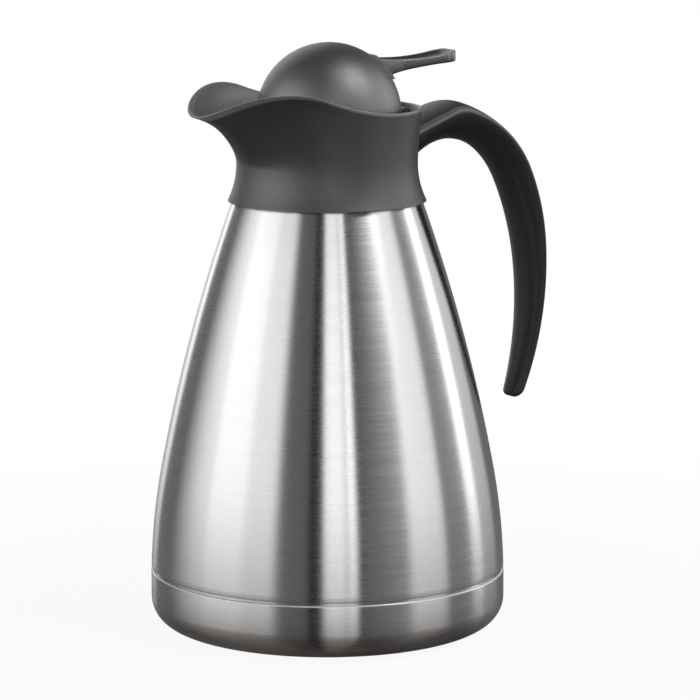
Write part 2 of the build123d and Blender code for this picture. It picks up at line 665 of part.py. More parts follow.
# ---------------------------------------------------------------- lid plate with its plug, seal and foam
PLUG_SLOPE = (PORT_MOUTH_R - PORT_R) / PORT_CONE_H
PLUG_TOP_R = PORT_MOUTH_R + PLUG_SLOPE * LID_GAP - PLUG_GAP
PLUG_LOW_R = PLUG_TOP_R - PLUG_SLOPE * PLUG_DEPTH
ARM_END_Y = EAR_Y - KNUCKLE_GAP
PLUG_SEAL_OUT_R = PLUG_SEAL_R + PLUG_SEAL_W
SEAL_BED_Z = PLATE_Z + PLUG_SEAL_BED

with BuildPart() as lid_plate:
    with BuildSketch(Plane.XY.offset(PLATE_Z)):
        with Locations((DOME_X, 0)):
            Circle(PLATE_R)
    extrude(amount=PLATE_T)
    with BuildSketch(Plane.XY.offset(PLATE_Z - PLUG_DEPTH)):
        Circle(PLUG_LOW_R)
    with BuildSketch(Plane.XY.offset(PLATE_Z)):
        Circle(PLUG_TOP_R)
    loft()
    with BuildSketch(Plane.XZ):
        with BuildLine():
            Polyline(
                (EAR_FOOT_X, PLATE_Z),
                (EAR_X + EAR_T, PLATE_Z),
                (EAR_X + EAR_T, HINGE_Z - KNUCKLE_R),
                (HINGE_X + KNUCKLE_R, HINGE_Z),
                (HINGE_X - KNUCKLE_R, HINGE_Z),
                (EAR_X - ARM_T, PLATE_TOP + ARM_T),
                (DOME_X + FOAM_R + FOAM_GAP, PLATE_TOP),
                close=True,
            )
        make_face()
        with Locations((HINGE_X, HINGE_Z)):
            Circle(KNUCKLE_R)
    extrude(amount=ARM_END_Y, both=True)
    add(bar((HINGE_X, HINGE_Z), PIN_R, 2 * ARM_END_Y, PIN_FIT), mode=Mode.SUBTRACT)
    add(ring(PLUG_SEAL_OUT_R, PLATE_Z, SEAL_BED_Z, PLUG_SEAL_R), mode=Mode.SUBTRACT)
    with Locations((DOME_X, 0, PLATE_TOP)):
        Hole(LID_SCREW_R + SCREW_FIT)
finish(lid_plate, "lid_plate")

with BuildPart() as plug_seal:
    add(ring(PLUG_SEAL_OUT_R, STOPPER_TOP, SEAL_BED_Z, PLUG_SEAL_R))
finish(plug_seal, "plug_seal")

# ---------------------------------------------------------------- ball-shaped lid
DOME_IN_R = DOME_R - DOME_T
SLOT_W = LEVER_ROOT_W + 2 * SLOT_GAP
LEVER_UNDER_Z = LEVER_Z - LEVER_ROOT_T
BOSS_Z = LEVER_UNDER_Z + TONGUE_T


def ball(radius):
    """The ball's full sphere."""
    with BuildPart() as sphere:
        with Locations((DOME_X, 0, DOME_Z)):
            Sphere(radius)
    return sphere.part


def block(x_range, half_width, z_range):
    """A box between two places along X and two heights, centred on the middle plane."""
    with BuildPart() as box:
        with Locations((sum(x_range) / 2, 0, sum(z_range) / 2)):
            Box(x_range[1] - x_range[0], 2 * half_width, z_range[1] - z_range[0])
    return box.part


def post(x, radius, low, high):
    """An upright round bar at this place on the middle plane."""
    with BuildPart() as column:
        with BuildSketch(Plane.XY.offset(low)):
            with Locations((x, 0)):
                Circle(radius)
        extrude(amount=high - low)
    return column.part


def inside_ball(part):
    """What of a part lies within the ball's outer face, short of the skin's middle."""
    with BuildPart() as kept:
        add(part)
        add(ball(DOME_R - DOME_T / 2), mode=Mode.INTERSECT)
    return kept.part


LID_TOP = DOME_Z + DOME_R


def slot_surround():
    """Raised step of the ball round the lever's slot."""
    with BuildPart() as step:
        step_low = LEVER_UNDER_Z - LEVER_STEP
        add(block((BOSS_X, LEVER_TIP_X), SLOT_W / 2 + LEVER_STEP, (step_low, LEVER_Z + LEVER_STEP)))
        add(ball(DOME_R + LEVER_STEP), mode=Mode.INTERSECT)
    return step.part


with BuildPart() as lid_dome:
    add(ball(DOME_R))
    add(slot_surround())
    add(ball(DOME_IN_R), mode=Mode.SUBTRACT)
    split(bisect_by=Plane.XY.offset(PLATE_TOP), keep=Keep.TOP)
    add(inside_ball(post(DOME_X, POST_R, PLATE_TOP, LID_TOP)))
    add(inside_ball(post(BOSS_X, BOSS_R, BOSS_Z, LID_TOP)))
    slot_low = LEVER_UNDER_Z - SLOT_GAP
    slot_high = LEVER_Z + SLOT_GAP
    add(block((BOSS_X + BOSS_R, LEVER_TIP_X), SLOT_W / 2, (slot_low, slot_high)), mode=Mode.SUBTRACT)
    notch_x = DOME_X + FOAM_R
    notch_top = HINGE_Z + KNUCKLE_R + KNUCKLE_GAP
    notch = block((notch_x, LEVER_TIP_X), EAR_END_Y + KNUCKLE_GAP, (PLATE_TOP, notch_top))
    add(notch, mode=Mode.SUBTRACT)
    with Locations(Plane((DOME_X, 0, PLATE_TOP), z_dir=(0, 0, -1))):
        Hole(LID_SCREW_R + SCREW_FIT, depth=LID_SCREW_LENGTH - PLUG_DEPTH - PLATE_T)
    with Locations(Plane((BOSS_X, 0, BOSS_Z), z_dir=(0, 0, -1))):
        Hole(LEVER_SCREW_R + SCREW_FIT, depth=LEVER_SCREW_LENGTH - TONGUE_T)
finish(lid_dome, "lid_dome")

with BuildPart() as lid_insulation:
    with BuildSketch(Plane.XY.offset(PLATE_TOP)):
        with Locations((DOME_X, 0)):
            Circle(FOAM_R)
            Circle(POST_R + FOAM_GAP, mode=Mode.SUBTRACT)
    extrude(amount=FOAM_H)
finish(lid_insulation, "lid_insulation")

with BuildPart() as lid_screw:
    plug_low = PLATE_Z - PLUG_DEPTH
    add(post(DOME_X, LID_SCREW_R, plug_low, plug_low + LID_SCREW_LENGTH))
    add(post(DOME_X, LID_SCREW_HEAD_R, plug_low - SCREW_HEAD_T, plug_low))
finish(lid_screw, "lid_screw")

# ---------------------------------------------------------------- thumb lever
LEVER_ROOT_X = DOME_X + sqrt(DOME_R**2 - LEVER_RISE**2)
LEVER_LOW_X = DOME_X + sqrt(DOME_R**2 - (LEVER_RISE - LEVER_ROOT_T) ** 2)
LEVER_TIP_Z = LEVER_Z + LEVER_TIP_RISE
LEVER_MID_X = (LEVER_ROOT_X + LEVER_TIP_X) / 2


def lever_plan():
    """The lever from above: it widens from the ball to a round tip."""
    leave_x = DOME_X + DOME_R + LEVER_STEP
    with BuildPart() as plan:
        with BuildSketch(Plane.XY.offset(DOME_Z)):
            with BuildLine():
                Polyline(
                    (TONGUE_X, -LEVER_ROOT_W / 2),
                    (leave_x, -LEVER_ROOT_W / 2),
                    (LEVER_TIP_X, -LEVER_TIP_W / 2),
                    (LEVER_TIP_X, LEVER_TIP_W / 2),
                    (leave_x, LEVER_ROOT_W / 2),
                    (TONGUE_X, LEVER_ROOT_W / 2),
                    close=True,
                )
            plate = make_face()
            fillet(plate.vertices().group_by(Axis.X)[-1], LEVER_TIP_R)
        extrude(amount=DOME_R + LEVER_TIP_RISE)
    return plan.part


with BuildPart() as thumb_lever:
    with BuildSketch(Plane.XZ):
        with BuildLine():
            lead_x = BOSS_X + BOSS_R + SLOT_GAP
            Polyline(
                (LEVER_ROOT_X, LEVER_Z),
                (lead_x, LEVER_Z),
                (lead_x, BOSS_Z),
                (TONGUE_X, BOSS_Z),
                (TONGUE_X, LEVER_UNDER_Z),
                (LEVER_LOW_X, LEVER_UNDER_Z),
            )
            under = Spline(
                (LEVER_LOW_X, LEVER_UNDER_Z),
                (LEVER_TIP_X, LEVER_TIP_Z - LEVER_TIP_T),
                tangents=(LEVER_LEAVE, (1, 0)),
                tangent_scalars=(LEVER_PULL, LEVER_PULL),
            )
            Line(under @ 1, (LEVER_TIP_X, LEVER_TIP_Z))
            Spline((LEVER_TIP_X, LEVER_TIP_Z), (LEVER_MID_X, LEVER_Z - LEVER_SAG), (LEVER_ROOT_X, LEVER_Z))
        make_face()
    extrude(amount=LEVER_TIP_W, both=True)
    add(lever_plan(), mode=Mode.INTERSECT)
    with BuildSketch(Plane.YZ.offset(LEVER_MID_X)):
        with Locations((0, LEVER_Z + THUMB_R - LEVER_SAG - THUMB_DEPTH)):
            Circle(THUMB_R)
    with BuildSketch(Plane.YZ.offset(2 * LEVER_TIP_X - LEVER_MID_X)):
        with Locations((0, 2 * LEVER_TIP_Z - LEVER_Z + THUMB_R + LEVER_SAG - THUMB_DEPTH)):
            Circle(THUMB_R)
    loft(mode=Mode.SUBTRACT)
    with Locations(Plane((BOSS_X, 0, LEVER_UNDER_Z))):
        Hole(LEVER_SCREW_R + SCREW_FIT)
finish(thumb_lever, "thumb_lever")

with BuildPart() as lever_screw:
    add(post(BOSS_X, LEVER_SCREW_R, LEVER_UNDER_Z, LEVER_UNDER_Z + LEVER_SCREW_LENGTH))
    add(post(BOSS_X, LEVER_SCREW_HEAD_R, LEVER_UNDER_Z - SCREW_HEAD_T, LEVER_UNDER_Z))
finish(lever_screw, "lever_screw")
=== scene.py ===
# %% [markdown]
# # An insulated carafe with a ball-shaped flip lid
#
# A steel flask widens towards its foot, and a soft plastic collar with a broad spout sits on its
# neck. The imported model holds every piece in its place, in metres, with the flask's axis on Z, the
# handle along +X and the spout along -X. This file gives that model its finish: brushed steel that
# draws the studio's lamps out into upright bands, and moulded plastic with a fine pebbled skin.

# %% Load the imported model
import json
import math

import bpy
import numpy as np
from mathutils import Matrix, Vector


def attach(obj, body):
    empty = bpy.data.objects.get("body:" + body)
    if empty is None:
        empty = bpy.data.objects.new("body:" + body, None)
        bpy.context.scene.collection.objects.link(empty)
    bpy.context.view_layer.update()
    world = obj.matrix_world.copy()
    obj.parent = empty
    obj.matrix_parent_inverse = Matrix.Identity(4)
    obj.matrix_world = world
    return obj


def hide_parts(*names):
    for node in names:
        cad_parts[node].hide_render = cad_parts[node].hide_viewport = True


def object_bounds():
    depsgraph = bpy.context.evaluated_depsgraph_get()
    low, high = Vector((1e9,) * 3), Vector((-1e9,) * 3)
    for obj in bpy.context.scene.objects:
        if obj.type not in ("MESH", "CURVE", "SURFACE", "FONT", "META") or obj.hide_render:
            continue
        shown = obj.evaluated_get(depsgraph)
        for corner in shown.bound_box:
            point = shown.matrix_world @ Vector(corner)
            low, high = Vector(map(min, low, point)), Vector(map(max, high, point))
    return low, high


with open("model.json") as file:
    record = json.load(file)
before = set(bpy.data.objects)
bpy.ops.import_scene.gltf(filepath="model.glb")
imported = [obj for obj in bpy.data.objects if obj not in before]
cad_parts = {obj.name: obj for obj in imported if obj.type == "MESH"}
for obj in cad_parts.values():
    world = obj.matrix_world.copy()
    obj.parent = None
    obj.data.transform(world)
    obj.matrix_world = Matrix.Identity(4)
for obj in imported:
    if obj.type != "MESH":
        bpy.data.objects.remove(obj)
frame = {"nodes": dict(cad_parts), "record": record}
nodes = frame["nodes"]
cad_box = [list(corner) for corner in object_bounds()]
MM = 0.001
box_in_mm = [[round(v / MM, 1) for v in corner] for corner in cad_box]
print("nodes:", len(nodes), "box in mm:", box_in_mm)

# %% [markdown]
# ## The camera
# A long lens from a little above the collar, as catalogues use it, keeps the flask's sides from
# leaning. The camera is placed by its distance from the axis, its height and its heading, so each
# number says one plain thing, and the view turns about the vertical and then tips down.

# %% Camera
CAMERA_AWAY = 1.3027
CAMERA_HEIGHT = 0.3266
CAMERA_SIDE = math.radians(28.0)
CAMERA_HEADING = math.radians(28.372)
CAMERA_DOWN = math.radians(9.7)
CAMERA_LENS = 182.2

camera = bpy.data.objects.new("camera", bpy.data.cameras.new("camera"))
bpy.context.scene.collection.objects.link(camera)
camera.data.lens = CAMERA_LENS
camera.data.sensor_width = 36.0
camera.data.clip_end = 50.0
camera.location = (
    -CAMERA_AWAY * math.sin(CAMERA_SIDE),
    -CAMERA_AWAY * math.cos(CAMERA_SIDE),
    CAMERA_HEIGHT,
)
camera.rotation_euler = (math.pi / 2 - CAMERA_DOWN, 0, -CAMERA_HEADING)
bpy.context.scene.camera = camera
bpy.context.scene.view_settings.view_transform = "Standard"
print("camera at", [round(v, 3) for v in camera.location])

# %% [markdown]
# ## Shader maths in Python
# A finish is a small formula: a streak is stretched noise, wear is a mask. Node trees hide such
# formulas, so one class wraps a socket and lets Python's own signs build the Math nodes.


# %% A socket that can be calculated with
class Val:
    """A socket of a node tree. Python's arithmetic signs add Math nodes to it."""

    def __init__(self, tree, socket):
        self.tree, self.socket = tree, socket

    def math(self, operation, *others):
        node = self.tree.nodes.new("ShaderNodeMath")
        node.operation = operation
        for slot, value in zip(node.inputs, (self, *others)):
            join(self.tree, slot, value)
        return Val(self.tree, node.outputs[0])

    def flipped(self, operation, other):
        node = self.tree.nodes.new("ShaderNodeMath")
        node.operation = operation
        join(self.tree, node.inputs[0], other)
        join(self.tree, node.inputs[1], self)
        return Val(self.tree, node.outputs[0])

    def __add__(self, other):
        return self.math("ADD", other)

    __radd__ = __add__

    def __mul__(self, other):
        return self.math("MULTIPLY", other)

    __rmul__ = __mul__

    def __sub__(self, other):
        return self.math("SUBTRACT", other)

    def __rsub__(self, other):
        return self.flipped("SUBTRACT", other)

    def ramp(self, low, high):
        """0 below low, 1 above high, and a smooth rise between."""
        node = self.tree.nodes.new("ShaderNodeMapRange")
        node.interpolation_type = "SMOOTHSTEP"
        for name, value in (("Value", self), ("From Min", low), ("From Max", high)):
            join(self.tree, node.inputs[name], value)
        return Val(self.tree, node.outputs["Result"])

    def fade(self, start, stop, below, above):
        """One level below start, another above stop, and a smooth change between."""
        return self.ramp(start, stop) * (above - below) + below

    def window(self, low, high, soft_low, soft_high):
        """1 between low and high, 0 outside, with an edge of its own softness on each side."""
        opened = self.ramp(low - soft_low / 2, low + soft_low / 2)
        return opened * (1 - self.ramp(high - soft_high / 2, high + soft_high / 2))


def join(tree, slot, value):
    """Link a wrapped socket to a slot, or write a plain value into it."""
    if isinstance(value, Val):
        tree.links.new(value.socket, slot)
    elif value is not None:
        slot.default_value = value


class Sheet:
    """A material's or the world's node tree, with one method that adds any node."""

    def __init__(self, owner):
        owner.use_nodes = True
        self.owner, self.tree = owner, owner.node_tree
        self.tree.nodes.clear()

    def node(self, kind, settings=None, out=0, **values):
        """Add a node, first its settings and then its sockets, and return one output.

        A socket's name is written with _ for a space. Two sockets of one name are told apart by
        their number, as in_6.
        """
        node = self.tree.nodes.new(f"ShaderNode{kind}")
        for name, value in (settings or {}).items():
            setattr(node, name, value)
        for name, value in values.items():
            key = int(name[3:]) if name.startswith("in_") else name.replace("_", " ")
            join(self.tree, node.inputs[key], value)
        return Val(self.tree, node.outputs[out])

    def axes(self):
        """The three Object coordinates, in metres."""
        first = self.node("SeparateXYZ", out="X", Vector=self.node("TexCoord", out="Object"))
        outputs = first.socket.node.outputs
        return first, Val(self.tree, outputs["Y"]), Val(self.tree, outputs["Z"])

    def ray(self, kind):
        """1 for a ray of this kind, such as Camera or Glossy, and 0 for any other."""
        return self.node("LightPath", out=f"Is {kind} Ray")

    def painted_light_mask(self):
        """How much painted light this point stores, as a painted highlight or paler painted light: 0
        on a mesh that stores none.
        """
        return self.node("Attribute", {"attribute_name": "painted_light"}, out="Fac")

    def noise(self, scale, detail=2.0, stretch=(1.0, 1.0, 1.0), rough=0.5):
        """Noise from 0 to 1 on Object coordinates, so many features per metre."""
        spot = self.node("TexCoord", out="Object")
        where = self.node("Mapping", Vector=spot, Scale=tuple(scale * part for part in stretch))
        return self.node("TexNoise", Vector=where, Scale=1.0, Detail=detail, Roughness=rough)

    def blend(self, share, first, second):
        """A colour between two colours."""
        return self.node("Mix", {"data_type": "RGBA"}, out=2, in_0=share, in_6=first, in_7=second)

    def bump(self, height, strength, reach):
        return self.node("Bump", Strength=strength, Distance=reach, Height=height)

    def end(self, shader, kind="OutputMaterial"):
        """Link the finished shader to the output."""
        join(self.tree, self.tree.nodes.new(f"ShaderNode{kind}").inputs["Surface"], shader)
        return self.owner


def grey(level, warm=0.0):
    """A grey, a little warmer or cooler."""
    return (level * (1 + warm), level, level * (1 - warm), 1.0)


print("shader maths ready")

# %% [markdown]
# ## The studio
# Brushed steel shows what stands round it, so the studio is half of its finish. Tall strip lamps
# and dark boards stand in a ring. They are one wall whose brightness changes with the bearing and
# the height, and only reflections see it. The wall closes to a pit below and a ceiling above, both
# dark, so that no reflection of a downward or upward face escapes to the white world. Soft area
# lamps light the plastic at a plain level. The floor is pale. The camera sees it almost white. A
# reflection sees it only close under the foot, and looks through it to the ring further out.

# %% Lamps
def lamp(name, place, size, power, aim=(0.0, 0.0, 0.12)):
    """A soft rectangular lamp at this place that points at the aim."""
    data = bpy.data.lights.new(name, "AREA")
    data.shape = "RECTANGLE"
    data.size, data.size_y = size
    data.energy = power
    item = bpy.data.objects.new(name, data)
    bpy.context.scene.collection.objects.link(item)
    item.location = place
    item.rotation_euler = (Vector(aim) - Vector(place)).to_track_quat("-Z", "Y").to_euler()
    item.visible_camera = False


lamp("lamp_front_right", (0.8, -0.96, 1.96), (0.45, 0.9), 17.0)
lamp("lamp_left", (-1.68, 0.27, 0.45), (0.9, 1.0), 1.5)
lamp("lamp_back_right", (1.7, -0.18, 0.6), (0.4, 1.3), 3.5)

# %% World
AMBIENT = 0.30

world = bpy.data.worlds.new("studio")
bpy.context.scene.world = world
sheet = Sheet(world)
seen = (sheet.ray("Camera") + sheet.ray("Transmission") + sheet.ray("Glossy")).math("MINIMUM", 1.0)
room = sheet.node("Background", Color=(1.0, 1.0, 1.0, 1.0), Strength=AMBIENT)
backdrop = sheet.node("Background", Color=(1.0, 1.0, 1.0, 1.0), Strength=1.0)
shown = sheet.node("MixShader", in_0=seen, in_1=room, in_2=backdrop)
sheet.end(shown, "OutputWorld")


# %% Meshes from grids
def mesh_piece(name, points, faces, sharp=None):
    """An object at the origin from an array of points in millimetres and an array of faces."""
    mesh = bpy.data.meshes.new(name)
    faces = faces.tolist() if hasattr(faces, "tolist") else faces
    mesh.from_pydata((points * MM).tolist(), [], faces)
    mesh.validate()
    mesh.polygons.foreach_set("use_smooth", np.ones(len(mesh.polygons), bool))
    if sharp is not None:
        mesh.set_sharp_from_angle(angle=math.radians(sharp))
    item = bpy.data.objects.new(name, mesh)
    bpy.context.scene.collection.objects.link(item)
    return item


def painted_light(item, values):
    """Store on each point how much painted light it takes, for the finishes to read: 0 none, 1 full.
    """
    item.data.attributes.new("painted_light", "FLOAT", "POINT").data.foreach_set("value", np.ravel(values))


def grid_faces(rows, columns, wrap_rows=False, wrap_columns=True, flip=False):
    """The quads of a grid of points, row after row, closed round in either direction or both."""
    row = np.arange(rows if wrap_rows else rows - 1)[:, None]
    column = np.arange(columns if wrap_columns else columns - 1)[None, :]
    next_row, next_column = (row + 1) % rows, (column + 1) % columns
    corners = [
        row * columns + column,
        row * columns + next_column,
        next_row * columns + next_column,
        next_row * columns + column,
    ]
    if flip:
        corners.reverse()
    return np.stack(np.broadcast_arrays(*corners), -1).reshape(-1, 4)


# %% Floor
def ring_points(radii, heights, count):
    """Points on rings round Z: one row for each pair of a radius and a height."""
    angle = np.linspace(0, 2 * math.pi, count, endpoint=False)
    radii, heights = np.asarray(radii, float)[:, None], np.asarray(heights, float)[:, None]
    parts = radii * np.cos(angle), radii * np.sin(angle), heights + 0 * angle
    return np.stack(parts, -1).reshape(-1, 3)


FLOOR_RADII, FLOOR_COLUMNS = (1.0, 150.0, 600.0, 6000.0), 64
# The share of plain white that the camera sees, near the foot, and that a reflection sees.
PALE_SHARE, GLOSS_SHARE = 0.93, 0.1
# Where the camera's share rises to all, and where reflections lose the floor, in metres.
PALE_FROM, PALE_TO = 0.10, 0.4
CLEAR_FROM, CLEAR_TO = 0.03, 0.06

floor_points = ring_points(FLOOR_RADII, np.zeros(len(FLOOR_RADII)), FLOOR_COLUMNS)
floor = mesh_piece("floor", floor_points, grid_faces(len(FLOOR_RADII), FLOOR_COLUMNS, flip=True))

sheet = Sheet(bpy.data.materials.new("pale_floor"))
gloss_ray = sheet.ray("Glossy")
spot = sheet.node("TexCoord", out="Object")
away = sheet.node("VectorMath", {"operation": "LENGTH"}, out="Value", in_0=spot)
paint = sheet.node("BsdfDiffuse", Color=grey(0.80), Roughness=0.5)
glow = sheet.node("Emission", Color=grey(1.0), Strength=1.0)
seen = (sheet.ray("Camera") + sheet.ray("Transmission")).math("MINIMUM", 1.0)
pale = seen * away.fade(PALE_FROM, PALE_TO, PALE_SHARE, 1.0) + gloss_ray * GLOSS_SHARE
surface = sheet.node("MixShader", in_0=pale, in_1=paint, in_2=glow)
far = gloss_ray * away.ramp(CLEAR_FROM, CLEAR_TO)
open_air = sheet.node("BsdfTransparent", Color=grey(1.0))
surface = sheet.node("MixShader", in_0=far, in_1=surface, in_2=open_air)
floor.data.materials.append(sheet.end(surface))

# %% Ring of strips and boards
# Radius and height of the ring's edges: the pit's middle, the wall's foot and top, the ceiling's.
RING_RADII, RING_HEIGHTS = (20.0, 2000.0, 2000.0, 60.0), (-2000.0, -1500.0, 2600.0, 3300.0)
RING_COLUMNS = 180

ring_wall = mesh_piece(
    "studio_ring",
    ring_points(RING_RADII, RING_HEIGHTS, RING_COLUMNS),
    grid_faces(len(RING_RADII), RING_COLUMNS, flip=True),
)
ring_wall.visible_camera = False
ring_wall.visible_diffuse = False
ring_wall.visible_shadow = False
ring_wall.visible_transmission = False

# Each strip: the bearing of its two edges, how softly each one ends, and how bright it is. Bearings
# are in degrees from the camera, positive to the camera's right as it looks at the carafe. The
# first strip draws the thin grey line down the flask's left edge, which parts it from the floor.
STRIPS = (
    (-180.0, -159.0, 1.0, 2.0, 1.1),
    (-157.0, -145.0, 3.0, 6.0, 1.9),
    (-110.0, -33.5, 44.0, 10.0, 1.8),
    (-2.5, 12.0, 1.0, 1.0, 2.3),
    (13.5, 19.0, 1.0, 1.0, 2.9),
    (54.0, 83.0, 10.0, 6.0, 1.8),
    (82.0, 108.0, 6.0, 6.0, 0.42),
    (109.5, 140.0, 8.0, 6.0, 1.1),
)
# Cracks are narrow gaps between strips, where nearly all light is missing. They are given as the
# strips are, without a brightness.
CRACKS = ((-12.5, -3.5, 2.0, 1.0), (19.5, 24.0, 1.0, 2.0))
CRACK_DEPTH = 0.98
# How strips and boards change with the height: start and stop in metres, level below, level above.
STRIP_FADES = ((-0.5, 0.7, 0.7, 1.0), (-0.55, 0.08, 0.13, 1.0), (1.1, 2.2, 1.0, 0.12))
BOARD_FADES = ((-1.4, -0.6, 0.35, 1.0), (1.5, 2.5, 1.0, 0.5))
BOARD_LEVEL = 0.18

sheet = Sheet(bpy.data.materials.new("strips_and_boards"))
x, y, z = sheet.axes()
camera_bearing = math.atan2(camera.location.y, camera.location.x)
turned_x = x * math.cos(camera_bearing) + y * math.sin(camera_bearing)
turned_y = y * math.cos(camera_bearing) - x * math.sin(camera_bearing)
bearing = turned_y.math("ARCTAN2", turned_x) * (180 / math.pi)
level = None
for *edges, bright in STRIPS:
    strip = bearing.window(*edges) * bright
    level = strip if level is None else level.math("MAXIMUM", strip)
for fade in STRIP_FADES:
    level = level * z.fade(*fade)
boards = z.fade(*BOARD_FADES[0]) * z.fade(*BOARD_FADES[1]) * BOARD_LEVEL
level = level.math("MAXIMUM", boards)
for edges in CRACKS:
    level = level * (1 - bearing.window(*edges) * CRACK_DEPTH)
strips = sheet.node("Emission", Color=grey(1.0), Strength=level)
ring_material = sheet.end(strips)
ring_material.cycles.emission_sampling = "NONE"
ring_wall.data.materials.append(ring_material)
print("strips:", len(STRIPS))

# %% [markdown]
# ## Brushed steel
# The shell is brushed while it spins, so its scratches run round it. A scratch throws light across
# itself, which draws each reflection out upright. An anisotropic shader does that with one number,
# and fine noise, squeezed flat along Z, gives the single scratches. Where a mesh stores painted
# light, as on the base cup's top edge, the steel is painted pale, a painted highlight that reads as
# a bright line under the groove. Near the foot the steel is painted darker and warmer, a painted
# reflection of the shaded floor.


# %% Steel finishes
def brushed_steel(name, tone, painted_foot_reflection=0.0, roughness=0.3, spread=0.97):
    """Steel brushed round Z: streaks change the tone, the roughness and the height a little."""
    sheet = Sheet(bpy.data.materials.new(name))
    fine = sheet.noise(1.0, 2.0, (40.0, 40.0, 2600.0))
    broad = sheet.noise(1.0, 3.0, (14.0, 14.0, 420.0))
    cloud = sheet.noise(26.0, 3.0)
    shade = fine * 0.10 + broad * 0.10 + cloud * 0.06 + 0.87
    share = shade.math("SUBTRACT", 0.5).math("MAXIMUM", 0.0)
    colour = sheet.blend(share, grey(tone * 0.5), grey(tone * 1.25))
    # Painted reflection: the lowest 20 mm are painted darker and warmer, as the shaded floor's
    # reflection.
    if painted_foot_reflection:
        low = (1 - sheet.axes()[2].ramp(0.0, 0.020)) * painted_foot_reflection
        colour = sheet.blend(low, colour, (tone * 0.55, tone * 0.47, tone * 0.42, 1.0))
    # Painted highlight: where the mesh stores painted light, the steel is painted pale and less
    # metallic.
    painted_light_share = sheet.painted_light_mask()
    colour = sheet.blend(painted_light_share, colour, grey(0.9))
    rough = fine * 0.06 + broad * 0.06 + (roughness - 0.06)
    lines = sheet.noise(1.0, 2.0, (60.0, 60.0, 3600.0))
    steel = sheet.node(
        "BsdfPrincipled",
        Base_Color=colour,
        Metallic=1 - painted_light_share * 0.85,
        Roughness=rough,
        Anisotropic=spread,
        Anisotropic_Rotation=0.25,
        Normal=sheet.bump(lines, 0.10, 0.00006),
    )
    return sheet.end(steel)


body_steel = brushed_steel("brushed_body_steel", 0.66, roughness=0.27)
# The base cup's steel takes the painted dark reflection at its foot.
base_steel = brushed_steel("brushed_base_steel", 0.62, painted_foot_reflection=0.9, roughness=0.27)
print("steel finishes ready")


# %% Profiles
def arc(centre, radius, start, stop, count):
    """Points on a circle from one angle to another, in degrees."""
    angle = np.radians(np.linspace(start, stop, count))
    return np.stack([centre[0] + radius * np.cos(angle), centre[1] + radius * np.sin(angle)], -1)


def fan(pole, ring, flip=False):
    """Triangles from one point to a ring of points, as indices."""
    ring = np.asarray(ring)
    sides = np.stack([np.full(len(ring), pole), ring, np.roll(ring, -1)], -1)
    return (sides[:, ::-1] if flip else sides).tolist()


def lathe(name, profile, count, poles=None, sharp=40):
    """Turn an outline of radius and height round Z. It runs up outside and down inside.

    Without poles the outline closes on itself. With poles, its first and last rings are each
    closed by a fan to a point on the axis, at the two heights given.
    """
    points = ring_points(profile[:, 0], profile[:, 1], count)
    faces = grid_faces(len(profile), count, wrap_rows=poles is None).tolist()
    if poles is not None:
        points = np.concatenate([points, [[0, 0, height] for height in poles]])
        last = len(profile) * count
        faces += fan(last, np.arange(count), flip=True)
        faces += fan(last + 1, np.arange(last - count, last))
    return mesh_piece(name, points, faces, sharp)


def tube(name, rows, poles, sharp=40):
    """A closed skin over an array of rows of points, with a fan to one point at each end."""
    count, around = rows.shape[:2]
    points = np.concatenate([rows.reshape(-1, 3), poles])
    last = count * around
    faces = grid_faces(count, around).tolist()
    faces += fan(last, np.arange(around), flip=True)
    faces += fan(last + 1, np.arange(last - around, last))
    return mesh_piece(name, points, faces, sharp)


# %% Outer shell
BODY_R, WIDEST_Z = 66.3, 16.0
BELLY_R, BELLY_TURN = 240.0, 10.5
FLANK_R, SHOULDER_R = 660.0, 35.2
CORNER_R, NECK_ROOT_R, NECK_R = 4.0, 2.0, 27.0
SHELL_T, HEM_R = 0.8, 0.4
SHELL_FOOT, NECK_TOP = 22.9, 178.31
LATHE_COLUMNS = 288

belly_share = math.cos(math.radians(BELLY_TURN))
flank_draw = BODY_R - BELLY_R * (1 - belly_share) - SHOULDER_R
LEAN = math.degrees(math.acos(belly_share - flank_draw / FLANK_R))


def direction(angle):
    """The unit vector at this many degrees above the horizontal."""
    return np.array([math.cos(math.radians(angle)), math.sin(math.radians(angle))])


def side_profile(depth, low, steps):
    """The shell's side this far under its face: belly arc, long flank arc, rolled corner, flat
    seat, fillet and neck. Each arc begins where the last one ends, in the same direction."""
    start = math.degrees(math.asin((low - WIDEST_Z) / BELLY_R))
    belly = arc((BODY_R - BELLY_R, WIDEST_Z), BELLY_R - depth, start, BELLY_TURN, steps // 3)
    flank_centre = belly[-1] - (FLANK_R - depth) * direction(BELLY_TURN)
    flank = arc(flank_centre, FLANK_R - depth, BELLY_TURN, LEAN, steps)[1:]
    corner_centre = flank[-1] - (CORNER_R - depth) * direction(LEAN)
    corner = arc(corner_centre, CORNER_R - depth, LEAN, 90, 9)[1:]
    root_centre = (NECK_R + NECK_ROOT_R, corner[-1, 1] + NECK_ROOT_R + depth)
    root = arc(root_centre, NECK_ROOT_R + depth, -90, -180, 6)
    neck = np.array([[NECK_R - depth, NECK_TOP]])
    return np.concatenate([belly, flank, corner, root, neck])


outside = side_profile(0.0, SHELL_FOOT + HEM_R, 60)
inside = side_profile(SHELL_T, SHELL_FOOT + HEM_R, 30)
hem_centre = (outside[0] + inside[0]) / 2
hem = arc(hem_centre, HEM_R, 180, 360, 9)[1:-1]
shell = lathe("shell_surface", np.concatenate([outside, inside[::-1], hem]), LATHE_COLUMNS)
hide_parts("outer_shell")
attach(shell, "flask")
shell.data.materials.append(body_steel)
print("shell rows:", len(outside) + len(inside), "lean at the top in degrees:", round(LEAN, 2))

# %% Base cup
FOOT_Z, BASE_TOP, BASE_CORNER_R = 0.8, 21.9, 10.4
SPIGOT_R, SPIGOT_TOP = 65.2, 25.9
BASE_EDGE_R = 0.55

